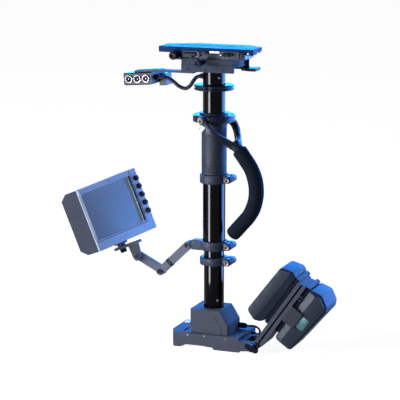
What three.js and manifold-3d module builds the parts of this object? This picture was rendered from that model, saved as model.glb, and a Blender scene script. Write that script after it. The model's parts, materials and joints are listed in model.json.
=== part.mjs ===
// A hand-held camera stabilizer sled: a telescopic post that carries a camera stage on top, a
// gimbal with a curved foam handle, a folding arm with a monitor, and a base with two batteries.
// Millimetres. +Z is up, +X runs along the base, -Y faces the operator's near side.
// The origin is the post's axis at the level the base stands on.
import * as THREE from "three";
import { mergeVertices } from "three/addons/utils/BufferGeometryUtils.js";
import Module from "manifold-3d";

const wasm = await Module();
wasm.setup();

// Fits and cuts used everywhere
const seat = 0.3; // gap between two pieces that touch
const running = 0.4; // radial gap round a shaft that turns or slides
const overrun = 5; // how far a cutting tool runs past the face it opens
const chamfer = 1; // broken edge on machined blocks

// Facets round a circle
const fineSides = 32;
const mediumSides = 18;
const smallSides = 10;
const holeSides = 8;
const hexSides = 6;
const arcSteps = 8;
const barCornerShare = 0.35; // how much of a bent bar's half width its corners take

const degree = Math.PI / 180;

// Heights of the parts on the post, each at its middle, and the drops between them
const level = {
  stage: 626.5, // underside of the stage
  dockingDrop: 37,
  gimbalDrop: 68.5,
  upperCollarDrop: 136,
  middleCollar: 232.5,
  lowerCollarDrop: 35.5,
};
level.docking = level.stage - level.dockingDrop;
level.gimbal = level.docking - level.gimbalDrop;
level.upperCollar = level.gimbal - level.upperCollarDrop;
level.lowerCollar = level.middleCollar - level.lowerCollarDrop;

const tray = {
  left: 92,
  right: 77,
  front: 46,
  back: 66,
  height: 34,
  cornerX: 11,
  cornerY: 25,
  footClear: 7,
  leftFoot: 27,
  leftRamp: 15,
  rightFoot: 59,
  rightRamp: 8,
  floor: 4,
  bossRadius: 28,
  slotX: 60,
  slotWidth: 4,
  slotDepth: 6,
  slotFront: 33,
  slotBack: 4,
};

const block = {
  left: 42,
  right: 48.5,
  depth: 80,
  height: 55.2,
  shoulder: 24.2, // height of the upright right side below the slope
  slopeRun: 19.5,
  bevel: 1.6,
  lineWidth: 1.2,
  lineDepth: 0.8,
  lineRise: 27.7, // of the level line over the tray
  lineBend: 16, // in from the right side, where the slanted line bends down
  lineBendRise: 15.7,
  lineTop: 33.8,
  lineTopRise: 43.7,
  lineEnd: 12.9,
};

const post = {
  lowerRadius: 23,
  lowerWall: 2.5,
  lowerLength: 355.7, // from its seat in the tray to its open end inside the upper tube
  slideGap: 0.5,
  upperWall: 1.9,
};
post.upperRadius = post.lowerRadius + post.slideGap + post.upperWall;

const collar = {
  radius: 32,
  height: 20,
  lowHeight: 16.5,
  slit: 3,
  lugReach: 39, // from the post's axis to the clamp screw
  lugRadius: 8,
  lugHalfWidth: 21,
  screwRadius: 3,
  headRadius: 5.2,
  headLength: 5,
  socketRadius: 2.4,
  socketDepth: 2.6,
};

const docking = {
  radius: 44.8,
  thickness: 11,
  grooveDepth: 3,
  grooveWidth: 4,
  slit: 3,
  lip: 1.4,
  screwReach: 36,
  screwLength: 26,
  screwRadius: 2.4,
};

const gimbal = {
  turn: -12 * degree, // how far the gimbal is turned round the post
  sleeveWall: 2.5,
  sleeveFlare: 0.8,
  sleeveGroove: 1,
  grooveWidth: 2,
  grooveStep: 7,
  grooveCount: 3,
  bearingWall: 7.3,
  bearingHeight: 26,
  housingWall: 7.6,
  ringGap: 1.6,
  ringWall: 4.9,
  height: 15,
  capScrews: 6,
  capScrewRadius: 1.9,
  capScrewDepth: 2.2,
  pinRadius: 3.2,
  pinBite: 5,
  boltHeadRadius: 6.6,
  boltHead: 3,
};

const yoke = {
  bossRadius: 8.6,
  bossThickness: 6.5,
  gap: 0.8,
  armWidth: 9.4,
  armHeight: 16.5,
  // How far out, to the side and down each arm runs, as shares of the way to the handle, and
  // how much of its full width it has there
  pathShares: [
    [0, 1, 0, 0.68], [0.12, 1, 0.13, 0.68], [0.2, 1.04, 0.21, 1], [0.32, 1.05, 0.34, 1],
    [0.52, 0.87, 0.53, 1], [0.74, 0.55, 0.74, 1], [1.02, 0.13, 1.03, 1],
  ],
  neckRadius: 12.4,
  neckLength: 12,
};

const handle = {
  startOut: 60,
  startDrop: 60.6,
  slope: 50 * degree, // how far the top of the grip points below level
  topLength: 43.7,
  bendRadius: 96,
  bendAngle: 83 * degree,
  lowerLength: 53.6,
  gripRadius: 17,
  stemRadius: 10.5,
  collarLength: 1.8, // stem left bare above the foam
  steps: 18,
  sides: 14,
};

const stage = {
  halfLength: 60.7,
  halfDepth: 45,
  legThickness: 7,
  slab: 7,
  baseHeight: 16.5,
  bodyHeight: 13.2,
  hubWall: 6,
  hubHeight: 8,
  holeRadius: 1.9,
  holeDepth: 3,
  holeRise: 6,
  holeStep: 41.9,
  holeShift: -3,
  wayWidth: 46,
  wayDepth: 2,
  knobX: -8,
  knobRise: 22.6,
};

const carriage = {
  left: 84,
  right: 86,
  halfDepth: 40,
  backCut: 24,
  thickness: 10.4,
  keyWidth: 44,
  lugWidth: 22,
  lugDrop: 15,
  railWidth: 34,
  railRise: 4,
};

const plate = {
  left: 114,
  right: 106,
  front: 46,
  back: 40,
  thickness: 13,
  cornerCut: 2,
  leftEnd: 56, // depth of the left end, which tapers in from behind
  leftTaper: 60,
  rightEnd: 60,
  rightTaper: 35,
  grooveDepth: 4.6,
  holeRadius: 3.2,
  holeDepth: 5,
  holeColumns: 8,
  holeRows: 3,
  holeStepX: 25,
  holeStepY: 25,
  backFirst: 2, // first and last column of the back row
  backLast: 6,
  slotLeft: 82,
  slotRight: 66,
  slotWidth: 7,
  recessLeft: 4,
  recessEnd: 31,
  recessHeight: 6.6,
  recessDepth: 6,
};

const vial = {
  width: 23,
  height: 4.4,
  depth: 5.4,
  rise: 1.8,
};

const sideKnob = {
  shaftRadius: 4,
  shaftLength: 13,
  headRadius: 7.6,
  headLength: 26,
  waist: 1.6,
  sides: 6,
};

const foreAftKnob = {
  drop: 4.7,
  shaftRadius: 3,
  shaftLength: 4,
  headRadius: 9.6,
  headLength: 17,
  cup: 4,
  cupDepth: 3,
};

const lever = {
  out: 15.3, // from the stage's end to the lever's axis
  shaftRadius: 6,
  shaftLength: 21,
  paddleThickness: 6,
  paddleFront: 26,
  paddleHalfWidth: 12.5,
  tipHalfWidth: 17,
  tipRun: 9,
};

const boxArm = {
  thickness: 4,
  width: 26,
  frontShare: 0.92, // where its front edge lies, as a share of the stage's half depth
  inner: 34,
  bend: 128,
  tail: 46,
  roll: -4.7 * degree,
};

const videoBox = {
  width: 67,
  height: 28,
  depth: 80,
  gap: 5, // from the bar's bend to the box
  inset: 1, // its front lies behind the stage's front
  taper: 12,
  bevel: 2,
  bossOut: 15,
  bossFrom: 47,
  bossDrop: 9,
  bossBelow: 8,
  frontWall: 3,
  strip: 1.5,
  connectorRadius: 8.6,
  connectorStep: 20.6,
  connectorLength: 6,
  barrelRadius: 6,
  barrelLength: 5,
  pinRadius: 2,
  glandBack: 25,
  glandDrop: 14,
};

const cable = {
  radius: 4.3,
  glandRadius: 6.4,
  glandLength: 6,
  sides: 8,
  steps: 40,
  postDrop: 14.2, // of the gland on the post below the stage
};

const bracket = {
  inner: 26,
  outer: 50,
  halfDepth: 12,
  below: 13,
  above: 8.5,
};

const arm = {
  pivotReach: 10.2, // of the shoulder pivot past the bracket
  pivotDrop: 5.2, // of the shoulder pivot below the collar's middle
  thickness: 10,
  radius: 9.5,
  upperLength: 94.5,
  upperAngle: 224.4 * degree,
  lowerLength: 64.2,
  lowerAngle: 153.2 * degree,
  bandStart: 57.5,
  bandLength: 7.5,
  bandRadius: 4.6,
  bandInset: 1.2,
  boltRadius: 3,
  headRadius: 6.8,
  headThickness: 3.4,
  nutThickness: 3,
  socketRadius: 3,
};
arm.pivotX = -bracket.outer - arm.pivotReach;
arm.pivotZ = level.middleCollar - arm.pivotDrop;

const shoe = {
  tilt: 22.5 * degree, // lean of the monitor's stand plate
  turn: 65.3 * degree, // swivel of the monitor on its stud
  reach: 42.98, // of the stud's axis past the wrist pivot
  rise: 30.87, // of the stud's foot over the wrist pivot
  forward: 5, // of the stud's axis in front of the post's
  cheekFrom: 171 * degree,
  cheekTo: 369 * degree,
  plateDrop: 10,
  plateThickness: 6,
  plateStart: -15,
  plateEnd: 45,
  plateHalfWidth: 14,
  neckStart: 17,
  neckEnd: 41,
  footHalf: 11,
  footHeight: 5,
  lockRadius: 9.5,
  lockHeight: 4,
  screwRadius: 3,
  screwHead: 7.5,
  screwHeadLength: 9,
  screwFlutes: 8,
};

const monitor = {
  width: 182,
  height: 146.7,
  depth: 67,
  frontDepth: 33, // from the stud's axis to the front face
  wall: 2.5,
  bezel: 4,
  backDrop: 13,
  backRun: 22,
  screenWidth: 147,
  screenHeight: 110,
  screenLeft: 6.6,
  screenTop: 12.1,
  screenLap: 3,
  screenThickness: 6,
  knobs: 5,
  knobRadius: 6,
  knobLength: 8,
  knobCap: 1.2,
  knobX: 9.6, // in from the right edge
  knobTop: 23,
  knobStep: 19.9,
  knobShaft: 1.8,
  keys: 12,
  keyWidth: 7,
  keyHeight: 3.6,
  keyRise: 1.2,
  keyStart: 8,
  keyStep: 13,
  keyUp: 11.4,
  keyBack: 1.6,
  sideHole: 1.7,
  sideHoleDepth: 26,
  sideHoleStepY: 20,
  sideHoleTop: 58,
  sideHoleStepZ: 28,
};

const hinge = {
  reach: 34, // of the pin past the tray's end
  z: 17,
  radius: 10.2,
  blockLow: 4.5,
  blockHigh: 27,
  footLength: 10,
  frontEar: 12,
  rearEar: 12,
  lugLength: 43,
  pinRadius: 4,
  wingReach: 16.4,
  wingThickness: 6.5,
  wingHub: 8.5,
  wingHubLength: 14,
  wingHeight: 13,
  wingTurn: 25 * degree,
};
hinge.x = tray.right + hinge.reach;

const rail = {
  lift: 55 * degree,
  start: 14,
  end: 188,
  shift: -4.4,
  thickness: 20,
  back: 30,
  grooveWidth: 4,
  grooveDepth: 5,
  frontStep: 1.2,
};

const packs = {
  plateStart: 63,
  plateEnd: 191,
  plateThickness: 9.4,
  plateHalfWidth: 39,
  plateBite: 1, // how far the plate is let into the rail
  halfWidth: 46,
  bevel: 3,
  upperStart: 49, // where the upper battery starts, from the hinge pin
  upperLength: 148,
  upperHeight: 47.5,
  lowerStart: 47,
  lowerLength: 149.5,
  lowerHeight: 58,
  // Each battery's side view, as shares of its length and of its height over its plate
  upperShares: [
    [0.1216, 0], [0.0473, 0.1474], [0, 0.4421], [0.0676, 1], [0.9324, 0.8842], [1, 0.2737],
    [0.9595, 0],
  ],
  lowerShares: [
    [0.0401, 0], [0.01, 0.069], [0, 0.2069], [0, 0.7862], [0.8227, 1], [0.9097, 0.8966], [1, 0.5],
    [0.9565, 0],
  ],
  releaseStart: 97,
  releaseLength: 40,
  releaseWidth: 21,
  releaseThickness: 5,
  releaseStem: 24,
  releaseRise: 0.4, // how far out of its plate the release starts
};

const rocker = {
  fromLeft: 13,
  fromBack: 23.5,
  width: 12,
  length: 15,
  height: 8,
  sink: 4,
};
rocker.x = rocker.fromLeft - tray.left;
rocker.y = tray.back - rocker.fromBack;

const baseLead = {
  upperY: 31,
  upperRise: 8.6, // over the tray
  lowerY: 42,
  lowerDrop: 13,
  plugRadius: 6.5,
  upperPlug: 20,
  lowerPlug: 11,
  radius: 2.4,
  round: 3.6, // how far the loop's corners stay off its ends
  out: 20, // how far past the tray's end the loop goes
  lean: 3,
  steps: 24,
};

// Small helpers for making and joining solids

function facingOut(geometry) {
  const flat = geometry.index ? geometry.toNonIndexed() : geometry;
  const p = flat.attributes.position.array;
  let volume = 0;
  for (let i = 0; i < p.length; i += 9) {
    const a = new THREE.Vector3(p[i], p[i + 1], p[i + 2]);
    const b = new THREE.Vector3(p[i + 3], p[i + 4], p[i + 5]);
    const c = new THREE.Vector3(p[i + 6], p[i + 7], p[i + 8]);
    volume += a.dot(b.cross(c));
  }
  if (volume < 0) {
    for (let i = 0; i < p.length; i += 9) {
      for (let k = 0; k < 3; k++) {
        [p[i + 3 + k], p[i + 6 + k]] = [p[i + 6 + k], p[i + 3 + k]];
      }
    }
  }
  flat.computeVertexNormals();
  return flat;
}

function toSolid(geometry) {
  const bare = facingOut(geometry.clone());
  bare.deleteAttribute("normal");
  bare.deleteAttribute("uv");
  const merged = mergeVertices(bare, 1e-4);
  return new wasm.Manifold(
    new wasm.Mesh({
      numProp: 3,
      vertProperties: merged.attributes.position.array,
      triVerts: new Uint32Array(merged.index.array),
    }),
  );
}

function toGeometry(solid) {
  const mesh = solid.getMesh();
  const geometry = new THREE.BufferGeometry();
  geometry.setAttribute("position", new THREE.BufferAttribute(mesh.vertProperties, 3));
  geometry.setIndex(new THREE.BufferAttribute(mesh.triVerts, 1));
  const flat = geometry.toNonIndexed();
  flat.computeVertexNormals();
  return flat;
}

function join(...geometries) {
  return toGeometry(geometries.map(toSolid).reduce((whole, piece) => whole.add(piece)));
}

function cut(base, ...tools) {
  return toGeometry(tools.reduce((whole, tool) => whole.subtract(toSolid(tool)), toSolid(base)));
}

function common(first, second) {
  return toGeometry(toSolid(first).intersect(toSolid(second)));
}

function box(x0, x1, y0, y1, z0, z1) {
  const geometry = new THREE.BoxGeometry(x1 - x0, y1 - y0, z1 - z0);
  geometry.translate((x0 + x1) / 2, (y0 + y1) / 2, (z0 + z1) / 2);
  return geometry;
}

// A box between two corners given in any order
function span(xa, xb, ya, yb, za, zb) {
  return box(
    Math.min(xa, xb),
    Math.max(xa, xb),
    Math.min(ya, yb),
    Math.max(ya, yb),
    Math.min(za, zb),
    Math.max(za, zb),
  );
}

// A round bar along one axis, from one coordinate to another, at a place on the other two axes
function rod(axis, radius, from, to, sides = mediumSides, u = 0, v = 0, tipRadius = radius) {
  const geometry = new THREE.CylinderGeometry(tipRadius, radius, to - from, sides);
  geometry.translate(0, (from + to) / 2, 0);
  if (axis === "x") {
    geometry.rotateZ(-Math.PI / 2);
    geometry.translate(0, u, v);
  }
  if (axis === "y") {
    geometry.translate(u, 0, v);
  }
  if (axis === "z") {
    geometry.rotateX(Math.PI / 2);
    geometry.translate(u, v, 0);
  }
  return geometry;
}

// A body turned round Z from a closed outline of [radius, height] pairs
function turned(points, sides = fineSides) {
  const closed = [...points, points[0]].map(([r, z]) => new THREE.Vector2(r, z));
  const geometry = new THREE.LatheGeometry(closed, sides);
  geometry.rotateX(Math.PI / 2);
  return facingOut(geometry);
}

function ring(inner, outer, low, high, edge = 0, sides = fineSides) {
  if (edge === 0) {
    return turned([[inner, low], [outer, low], [outer, high], [inner, high]], sides);
  }
  const profile = [
    [inner, low],
    [outer - edge, low],
    [outer, low + edge],
    [outer, high - edge],
    [outer - edge, high],
    [inner, high],
  ];
  return turned(profile, sides);
}

// An outline pushed straight along Z, with optional broken edges inside its size
function prism(points, from, to, edge = 0) {
  const shape = new THREE.Shape(points.map(([x, y]) => new THREE.Vector2(x, y)));
  const geometry = new THREE.ExtrudeGeometry(shape, {
    depth: to - from - 2 * edge,
    bevelEnabled: edge > 0,
    bevelSize: edge,
    bevelThickness: edge,
    bevelOffset: -edge,
    bevelSegments: 1,
    curveSegments: arcSteps,
  });
  geometry.translate(0, 0, from + edge);
  return geometry;
}

// The same, with the outline drawn in X and Z and pushed along Y
function prismAlongY(points, from, to, edge = 0) {
  const geometry = prism(points, -to, -from, edge);
  geometry.rotateX(Math.PI / 2);
  return geometry;
}

// The same, with the outline drawn in Y and Z and pushed along X
function prismAlongX(points, from, to, edge = 0) {
  const geometry = prism(points, from, to, edge);
  const turn = new THREE.Matrix4().makeBasis(
    new THREE.Vector3(0, 1, 0),
    new THREE.Vector3(0, 0, 1),
    new THREE.Vector3(1, 0, 0),
  );
  geometry.applyMatrix4(turn);
  return geometry;
}

// Points along an arc, for outlines
function arc(cx, cy, radius, from, to, steps = arcSteps) {
  const points = [];
  for (let i = 0; i <= steps; i++) {
    const a = from + ((to - from) * i) / steps;
    points.push([cx + radius * Math.cos(a), cy + radius * Math.sin(a)]);
  }
  return points;
}

// A flat link with two round ends, drawn in X and Z from the origin along +X
function linkOutline(length, radius) {
  const near = arc(0, 0, radius, Math.PI / 2, (3 * Math.PI) / 2);
  const far = arc(length, 0, radius, -Math.PI / 2, Math.PI / 2);
  return [...near, ...far];
}

// A bar with broken corners that follows a bent line; its height stays near the given up
function bentBar(points, halfWidth, halfHeight, up, widthShares) {
  const corner = barCornerShare;
  const rings = points.map((point, i) => {
    const before = points[Math.max(i - 1, 0)];
    const after = points[Math.min(i + 1, points.length - 1)];
    const along = after.clone().sub(before).normalize();
    const side = new THREE.Vector3().crossVectors(along, up).normalize();
    const rise = new THREE.Vector3().crossVectors(side, along).normalize();
    const shares = [
      [1, -1 + corner], [1, 1 - corner], [1 - corner, 1], [-1 + corner, 1],
      [-1, 1 - corner], [-1, -1 + corner], [-1 + corner, -1], [1 - corner, -1],
    ];
    return shares.map(([w, h]) =>
      point
        .clone()
        .addScaledVector(side, w * halfWidth * widthShares[i])
        .addScaledVector(rise, h * halfHeight),
    );
  });
  return skin(rings);
}

// A closed skin over a row of rings that have the same number of points
function skin(rings) {
  const count = rings[0].length;
  const positions = [];
  const add = (...corners) => corners.forEach((p) => positions.push(p.x, p.y, p.z));
  for (let r = 0; r + 1 < rings.length; r++) {
    for (let i = 0; i < count; i++) {
      const j = (i + 1) % count;
      add(rings[r][i], rings[r][j], rings[r + 1][j]);
      add(rings[r][i], rings[r + 1][j], rings[r + 1][i]);
    }
  }
  const first = rings[0];
  const last = rings[rings.length - 1];
  for (let i = 1; i + 1 < count; i++) {
    add(first[0], first[i + 1], first[i]);
    add(last[0], last[i], last[i + 1]);
  }
  const geometry = new THREE.BufferGeometry();
  geometry.setAttribute("position", new THREE.Float32BufferAttribute(positions, 3));
  return facingOut(geometry);
}

// A round section carried along a curve; a hollow one when an inner radius is given
function tubeAlong(curve, radius, sides, steps, inner = 0) {
  const shape = new THREE.Shape(
    arc(0, 0, radius, 0, 2 * Math.PI, sides).slice(0, sides).map(([x, y]) => new THREE.Vector2(x, y)),
  );
  if (inner > 0) {
    const hole = arc(0, 0, inner, 0, 2 * Math.PI, sides).slice(0, sides);
    shape.holes.push(new THREE.Path(hole.map(([x, y]) => new THREE.Vector2(x, y))));
  }
  return facingOut(new THREE.ExtrudeGeometry(shape, { steps, extrudePath: curve }));
}

// Finishes
const finish = {
  black: { color: 0x101216, roughness: 0.42, metalness: 0.6 },
  gloss: { color: 0x07080b, roughness: 0.14, metalness: 0.3 },
  charcoal: { color: 0x2b2e36, roughness: 0.55, metalness: 0.5 },
  grey: { color: 0x6a6f7a, roughness: 0.45, metalness: 0.7 },
  steel: { color: 0xa9adb5, roughness: 0.28, metalness: 1 },
  blue: { color: 0x07577f, roughness: 0.36, metalness: 0.7 },
  bezel: { color: 0x7796e0, roughness: 0.45, metalness: 0.4 },
  screen: { color: 0x32435c, roughness: 0.12, metalness: 0 },
  foam: { color: 0x0f1320, roughness: 0.92, metalness: 0 },
  rubber: { color: 0x0b0c10, roughness: 0.8, metalness: 0 },
  plastic: { color: 0x1c2028, roughness: 0.5, metalness: 0 },
  white: { color: 0xe8eaee, roughness: 0.4, metalness: 0 },
};

function part(name, geometry, look) {
  const mesh = new THREE.Mesh(geometry, new THREE.MeshStandardMaterial(finish[look]));
  mesh.name = name;
  return mesh;
}

const root = new THREE.Group();

// Base: a low tray on two feet, the block that grips the post, and the power rocker

function makeTray() {
  const plan = [
    [-tray.left, -tray.front + tray.cornerY],
    [-tray.left + tray.cornerX, -tray.front],
    [tray.right, -tray.front],
    [tray.right, tray.back],
    [-tray.left, tray.back],
  ];
  const leftInner = -tray.left + tray.leftFoot;
  const rightInner = tray.right - tray.rightFoot;
  const side = [
    [-tray.left - overrun, 0],
    [leftInner, 0],
    [leftInner + tray.leftRamp, tray.footClear],
    [rightInner - tray.rightRamp, tray.footClear],
    [rightInner, 0],
    [tray.right + overrun, 0],
    [tray.right + overrun, tray.height + overrun],
    [-tray.left - overrun, tray.height + overrun],
  ];
  const body = common(
    prism(plan, 0, tray.height, chamfer),
    prismAlongY(side, -tray.front - overrun, tray.back + overrun),
  );
  const boss = rod("z", tray.bossRadius, 0, tray.height - chamfer, mediumSides);
  const bore = rod("z", post.lowerRadius + seat, tray.floor, tray.height + overrun, fineSides);
  const rockerX = rocker.width / 2 + running;
  const rockerY = rocker.length / 2 + running;
  const pocket = box(
    rocker.x - rockerX,
    rocker.x + rockerX,
    rocker.y - rockerY,
    rocker.y + rockerY,
    tray.height - rocker.sink - seat,
    tray.height + overrun,
  );
  const slot = box(
    -tray.slotX - tray.slotWidth / 2,
    -tray.slotX + tray.slotWidth / 2,
    -tray.slotFront,
    tray.slotBack,
    tray.height - tray.slotDepth,
    tray.height + overrun,
  );
  return cut(join(body, boss), bore, pocket, slot);
}

function makeBlock() {
  const low = tray.height + seat;
  const top = low + block.height;
  const front = -block.depth / 2;
  const slope = [
    [block.right, low + block.shoulder],
    [block.right - block.slopeRun, top],
  ];
  const profile = [[-block.left, low], [block.right, low], ...slope, [-block.left, top]];
  const body = prismAlongY(profile, front, -front, block.bevel);
  const bore = rod("z", post.lowerRadius + seat, 0, top + overrun, fineSides);
  const right = block.right;
  const levelZ = low + block.lineRise;
  const share = (block.lineRise - block.lineBendRise) / (block.lineTopRise - block.lineBendRise);
  const meetX = right - block.lineBend - share * (block.lineTop - block.lineBend);
  const across = scribe([-block.left - overrun, levelZ], [meetX, levelZ]);
  const bendPoint = [right - block.lineBend, low + block.lineBendRise];
  const slanted = scribe([right - block.lineTop, low + block.lineTopRise], bendPoint);
  const upright = scribe(bendPoint, [right - block.lineEnd, low - overrun]);
  return cut(body, bore, across, upright, slanted);
}

// A straight shallow cut in the block's front face between two places on it
function scribe(from, to) {
  const dx = to[0] - from[0];
  const dz = to[1] - from[1];
  const length = Math.hypot(dx, dz);
  const face = -block.depth / 2;
  const half = block.lineWidth / 2;
  const tool = box(0, length, face - overrun, face + block.lineDepth, -half, half);
  tool.rotateY(-Math.atan2(dz, dx));
  tool.translate(from[0], 0, from[1]);
  return tool;
}

function makeRocker() {
  const halfX = rocker.width / 2;
  const low = tray.height - rocker.sink;
  const high = low + rocker.height;
  const dip = rocker.height / 4;
  const half = rocker.length / 2;
  const profile = [
    [-half, low + dip],
    [0, low],
    [half, low + dip],
    [half, high],
    [0, high - dip],
    [-half, high - dip / 2],
  ];
  const geometry = prismAlongX(profile, -halfX, halfX);
  geometry.translate(rocker.x, rocker.y, 0);
  return geometry;
}

// A split clamp collar with two ears that a cross screw draws together
function makeCollar(middle, height, bore) {
  const low = middle - height / 2;
  const high = middle + height / 2;
  const band = ring(bore, collar.radius, low, high, chamfer);
  const earStart = (bore + collar.radius) / 2;
  const ears = prismAlongY(
    [
      [earStart, middle - collar.lugRadius],
      ...arc(collar.lugReach, middle, collar.lugRadius, -Math.PI / 2, Math.PI / 2),
      [earStart, middle + collar.lugRadius],
    ],
    -collar.lugHalfWidth,
    collar.lugHalfWidth,
    chamfer,
  );
  const reach = collar.lugReach + collar.lugRadius + overrun;
  const slit = box(0, reach, -collar.slit / 2, collar.slit / 2, low - overrun, high + overrun);
  const core = rod("z", bore, low - overrun, high + overrun, fineSides);
  const hole = rod(
    "y",
    collar.screwRadius + running,
    -collar.lugHalfWidth - overrun,
    collar.lugHalfWidth + overrun,
    smallSides,
    collar.lugReach,
    middle,
  );
  return cut(join(band, cut(ears, core)), slit, hole);
}

function makeCollarScrew(middle) {
  const face = collar.lugHalfWidth + seat;
  const place = [smallSides, collar.lugReach, middle];
  const shank = rod("y", collar.screwRadius, -face - collar.headLength / 2, face, ...place);
  const head = rod("y", collar.headRadius, -face - collar.headLength, -face, ...place);
  const hex = [hexSides, collar.lugReach, middle];
  const nut = rod("y", collar.headRadius, face, face + collar.headLength, ...hex);
  const tail = rod("y", collar.screwRadius, 0, face + collar.headLength / 2, ...place);
  const socket = rod(
    "y",
    collar.socketRadius,
    -face - collar.headLength - overrun,
    -face - collar.headLength + collar.socketDepth,
    ...hex,
  );
  return cut(join(shank, head, nut, tail), socket);
}

function makeHingeBlock() {
  const start = tray.right + seat;
  const front = -tray.front;
  const lug = front + hinge.frontEar;
  const rear = lug + hinge.lugLength + 2 * running;
  const end = rear + hinge.rearEar;
  const foot = box(start, start + hinge.footLength, front, end, hinge.blockLow, hinge.blockHigh);
  const earOutline = [
    [start + hinge.footLength / 2, hinge.blockLow],
    [hinge.x, hinge.z - hinge.radius],
    ...arc(hinge.x, hinge.z, hinge.radius, -Math.PI / 2, Math.PI / 2),
    [hinge.x, hinge.z + hinge.radius],
    [start + hinge.footLength / 2, hinge.blockHigh],
  ];
  const ears = [
    prismAlongY(earOutline, front, lug),
    prismAlongY(earOutline, rear, end),
  ];
  const hole = rod(
    "y",
    hinge.pinRadius + running,
    front - overrun,
    end + overrun,
    mediumSides,
    hinge.x,
    hinge.z,
  );
  return cut(join(foot, ...ears), hole);
}

// The wing knob's long shank is the hinge pin of the battery arm
function makeWingKnob() {
  const front = -tray.front - seat;
  const end = -tray.front + hinge.frontEar + hinge.lugLength + 2 * running + hinge.rearEar;
  const place = [hinge.x, hinge.z];
  const pin = rod("y", hinge.pinRadius, front - seat, end - chamfer, mediumSides, ...place);
  const back = front - hinge.wingHubLength;
  const hub = rod("y", hinge.wingHub, back, front, mediumSides, ...place);
  const half = hinge.wingThickness / 2;
  const tip = hinge.wingReach - hinge.wingHeight / 2;
  const wing = prismAlongY(linkOutline(2 * tip, hinge.wingHeight / 2), back, back + 2 * half, chamfer);
  wing.translate(-tip, 0, 0);
  wing.rotateY(hinge.wingTurn);
  wing.translate(hinge.x, 0, hinge.z);
  return join(pin, hub, wing);
}

// The jumper lead from the block's side to the tray's end, in one piece with its plugs
function makeBaseLead() {
  const { upperY, upperRise, lowerY, lowerDrop, plugRadius, radius, round, lean } = baseLead;
  const reach = tray.right + baseLead.out;
  const high = tray.height + upperRise;
  const low = tray.height - lowerDrop;
  const upperStart = block.right + seat;
  const upperEnd = upperStart + baseLead.upperPlug;
  const lowerStart = tray.right + seat;
  const lowerEnd = lowerStart + baseLead.lowerPlug;
  const upper = rod("x", plugRadius, upperStart, upperEnd, mediumSides, upperY, high);
  const lower = rod("x", plugRadius, lowerStart, lowerEnd, mediumSides, lowerY, low);
  const middleY = (upperY + lowerY) / 2;
  const curve = new THREE.CatmullRomCurve3([
    new THREE.Vector3(upperEnd - seat, upperY, high),
    new THREE.Vector3(upperEnd + round, upperY, high),
    new THREE.Vector3(reach - 2 * round, upperY + lean, high - lean),
    new THREE.Vector3(reach, middleY, (high + low) / 2),
    new THREE.Vector3(reach - round, lowerY - lean, low + lean),
    new THREE.Vector3(lowerEnd - seat, lowerY, low),
  ]);
  return join(upper, lower, tubeAlong(curve, radius, cable.sides, baseLead.steps));
}

root.add(
  part("base_tray", makeTray(), "charcoal"),
  part("base_block", makeBlock(), "charcoal"),
  part("power_switch", makeRocker(), "white"),
  part("hinge_block", makeHingeBlock(), "charcoal"),
  part("wing_knob", makeWingKnob(), "plastic"),
  part("base_lead", makeBaseLead(), "rubber"),
);

// Post: a fixed lower tube and a sliding upper tube, with their clamp collars

const lowerSeat = tray.floor + seat;
const upperBottom = level.middleCollar - collar.height / 2;
const upperTop = level.stage + stage.baseHeight - stage.slab - seat;

root.add(
  part(
    "lower_tube",
    ring(
      post.lowerRadius - post.lowerWall,
      post.lowerRadius,
      lowerSeat,
      lowerSeat + post.lowerLength,
    ),
    "gloss",
  ),
  part(
    "upper_tube",
    ring(post.lowerRadius + post.slideGap, post.upperRadius, upperBottom, upperTop),
    "gloss",
  ),
  part(
    "lower_collar",
    makeCollar(level.lowerCollar, collar.lowHeight, post.lowerRadius + seat),
    "black",
  ),
  part(
    "upper_collar",
    makeCollar(level.upperCollar, collar.height, post.upperRadius + seat),
    "black",
  ),
  part("lower_collar_screw", makeCollarScrew(level.lowerCollar), "steel"),
  part("middle_collar_screw", makeCollarScrew(level.middleCollar), "steel"),
  part("upper_collar_screw", makeCollarScrew(level.upperCollar), "steel"),
);

// The docking ring: a flange with a grooved rim, split at the front and drawn shut by a screw
function makeDockingRing() {
  const low = level.docking - docking.thickness / 2;
  const high = level.docking + docking.thickness / 2;
  const bore = post.upperRadius + seat;
  const { radius, grooveDepth, grooveWidth, lip } = docking;
  const profile = [
    [bore, low],
    [radius - lip, low],
    [radius, low + lip],
    [radius, level.docking - grooveWidth / 2],
    [radius - grooveDepth, level.docking - grooveWidth / 2 + lip],
    [radius - grooveDepth, level.docking + grooveWidth / 2 - lip],
    [radius, level.docking + grooveWidth / 2],
    [radius, high - lip],
    [radius - lip, high],
    [bore, high],
  ];
  const slit = box(
    -docking.slit / 2,
    docking.slit / 2,
    -radius - overrun,
    0,
    low - overrun,
    high + overrun,
  );
  const hole = rod(
    "x",
    docking.screwRadius + running,
    -radius,
    radius,
    smallSides,
    -docking.screwReach,
    level.docking,
  );
  return cut(turned(profile), slit, hole);
}

function makeDockingScrew() {
  return rod(
    "x",
    docking.screwRadius,
    -docking.screwLength / 2,
    docking.screwLength / 2,
    smallSides,
    -docking.screwReach,
    level.docking,
  );
}

root.add(
  part("docking_ring", makeDockingRing(), "black"),
  part("docking_screw", makeDockingScrew(), "steel"),
);

// Stage: a channel on the post's head, its upper block, and the sliding carriage and plate

const stageTop = level.stage + stage.baseHeight + seat + stage.bodyHeight;
const plateBottom = stageTop + carriage.thickness + 2 * seat;

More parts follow.
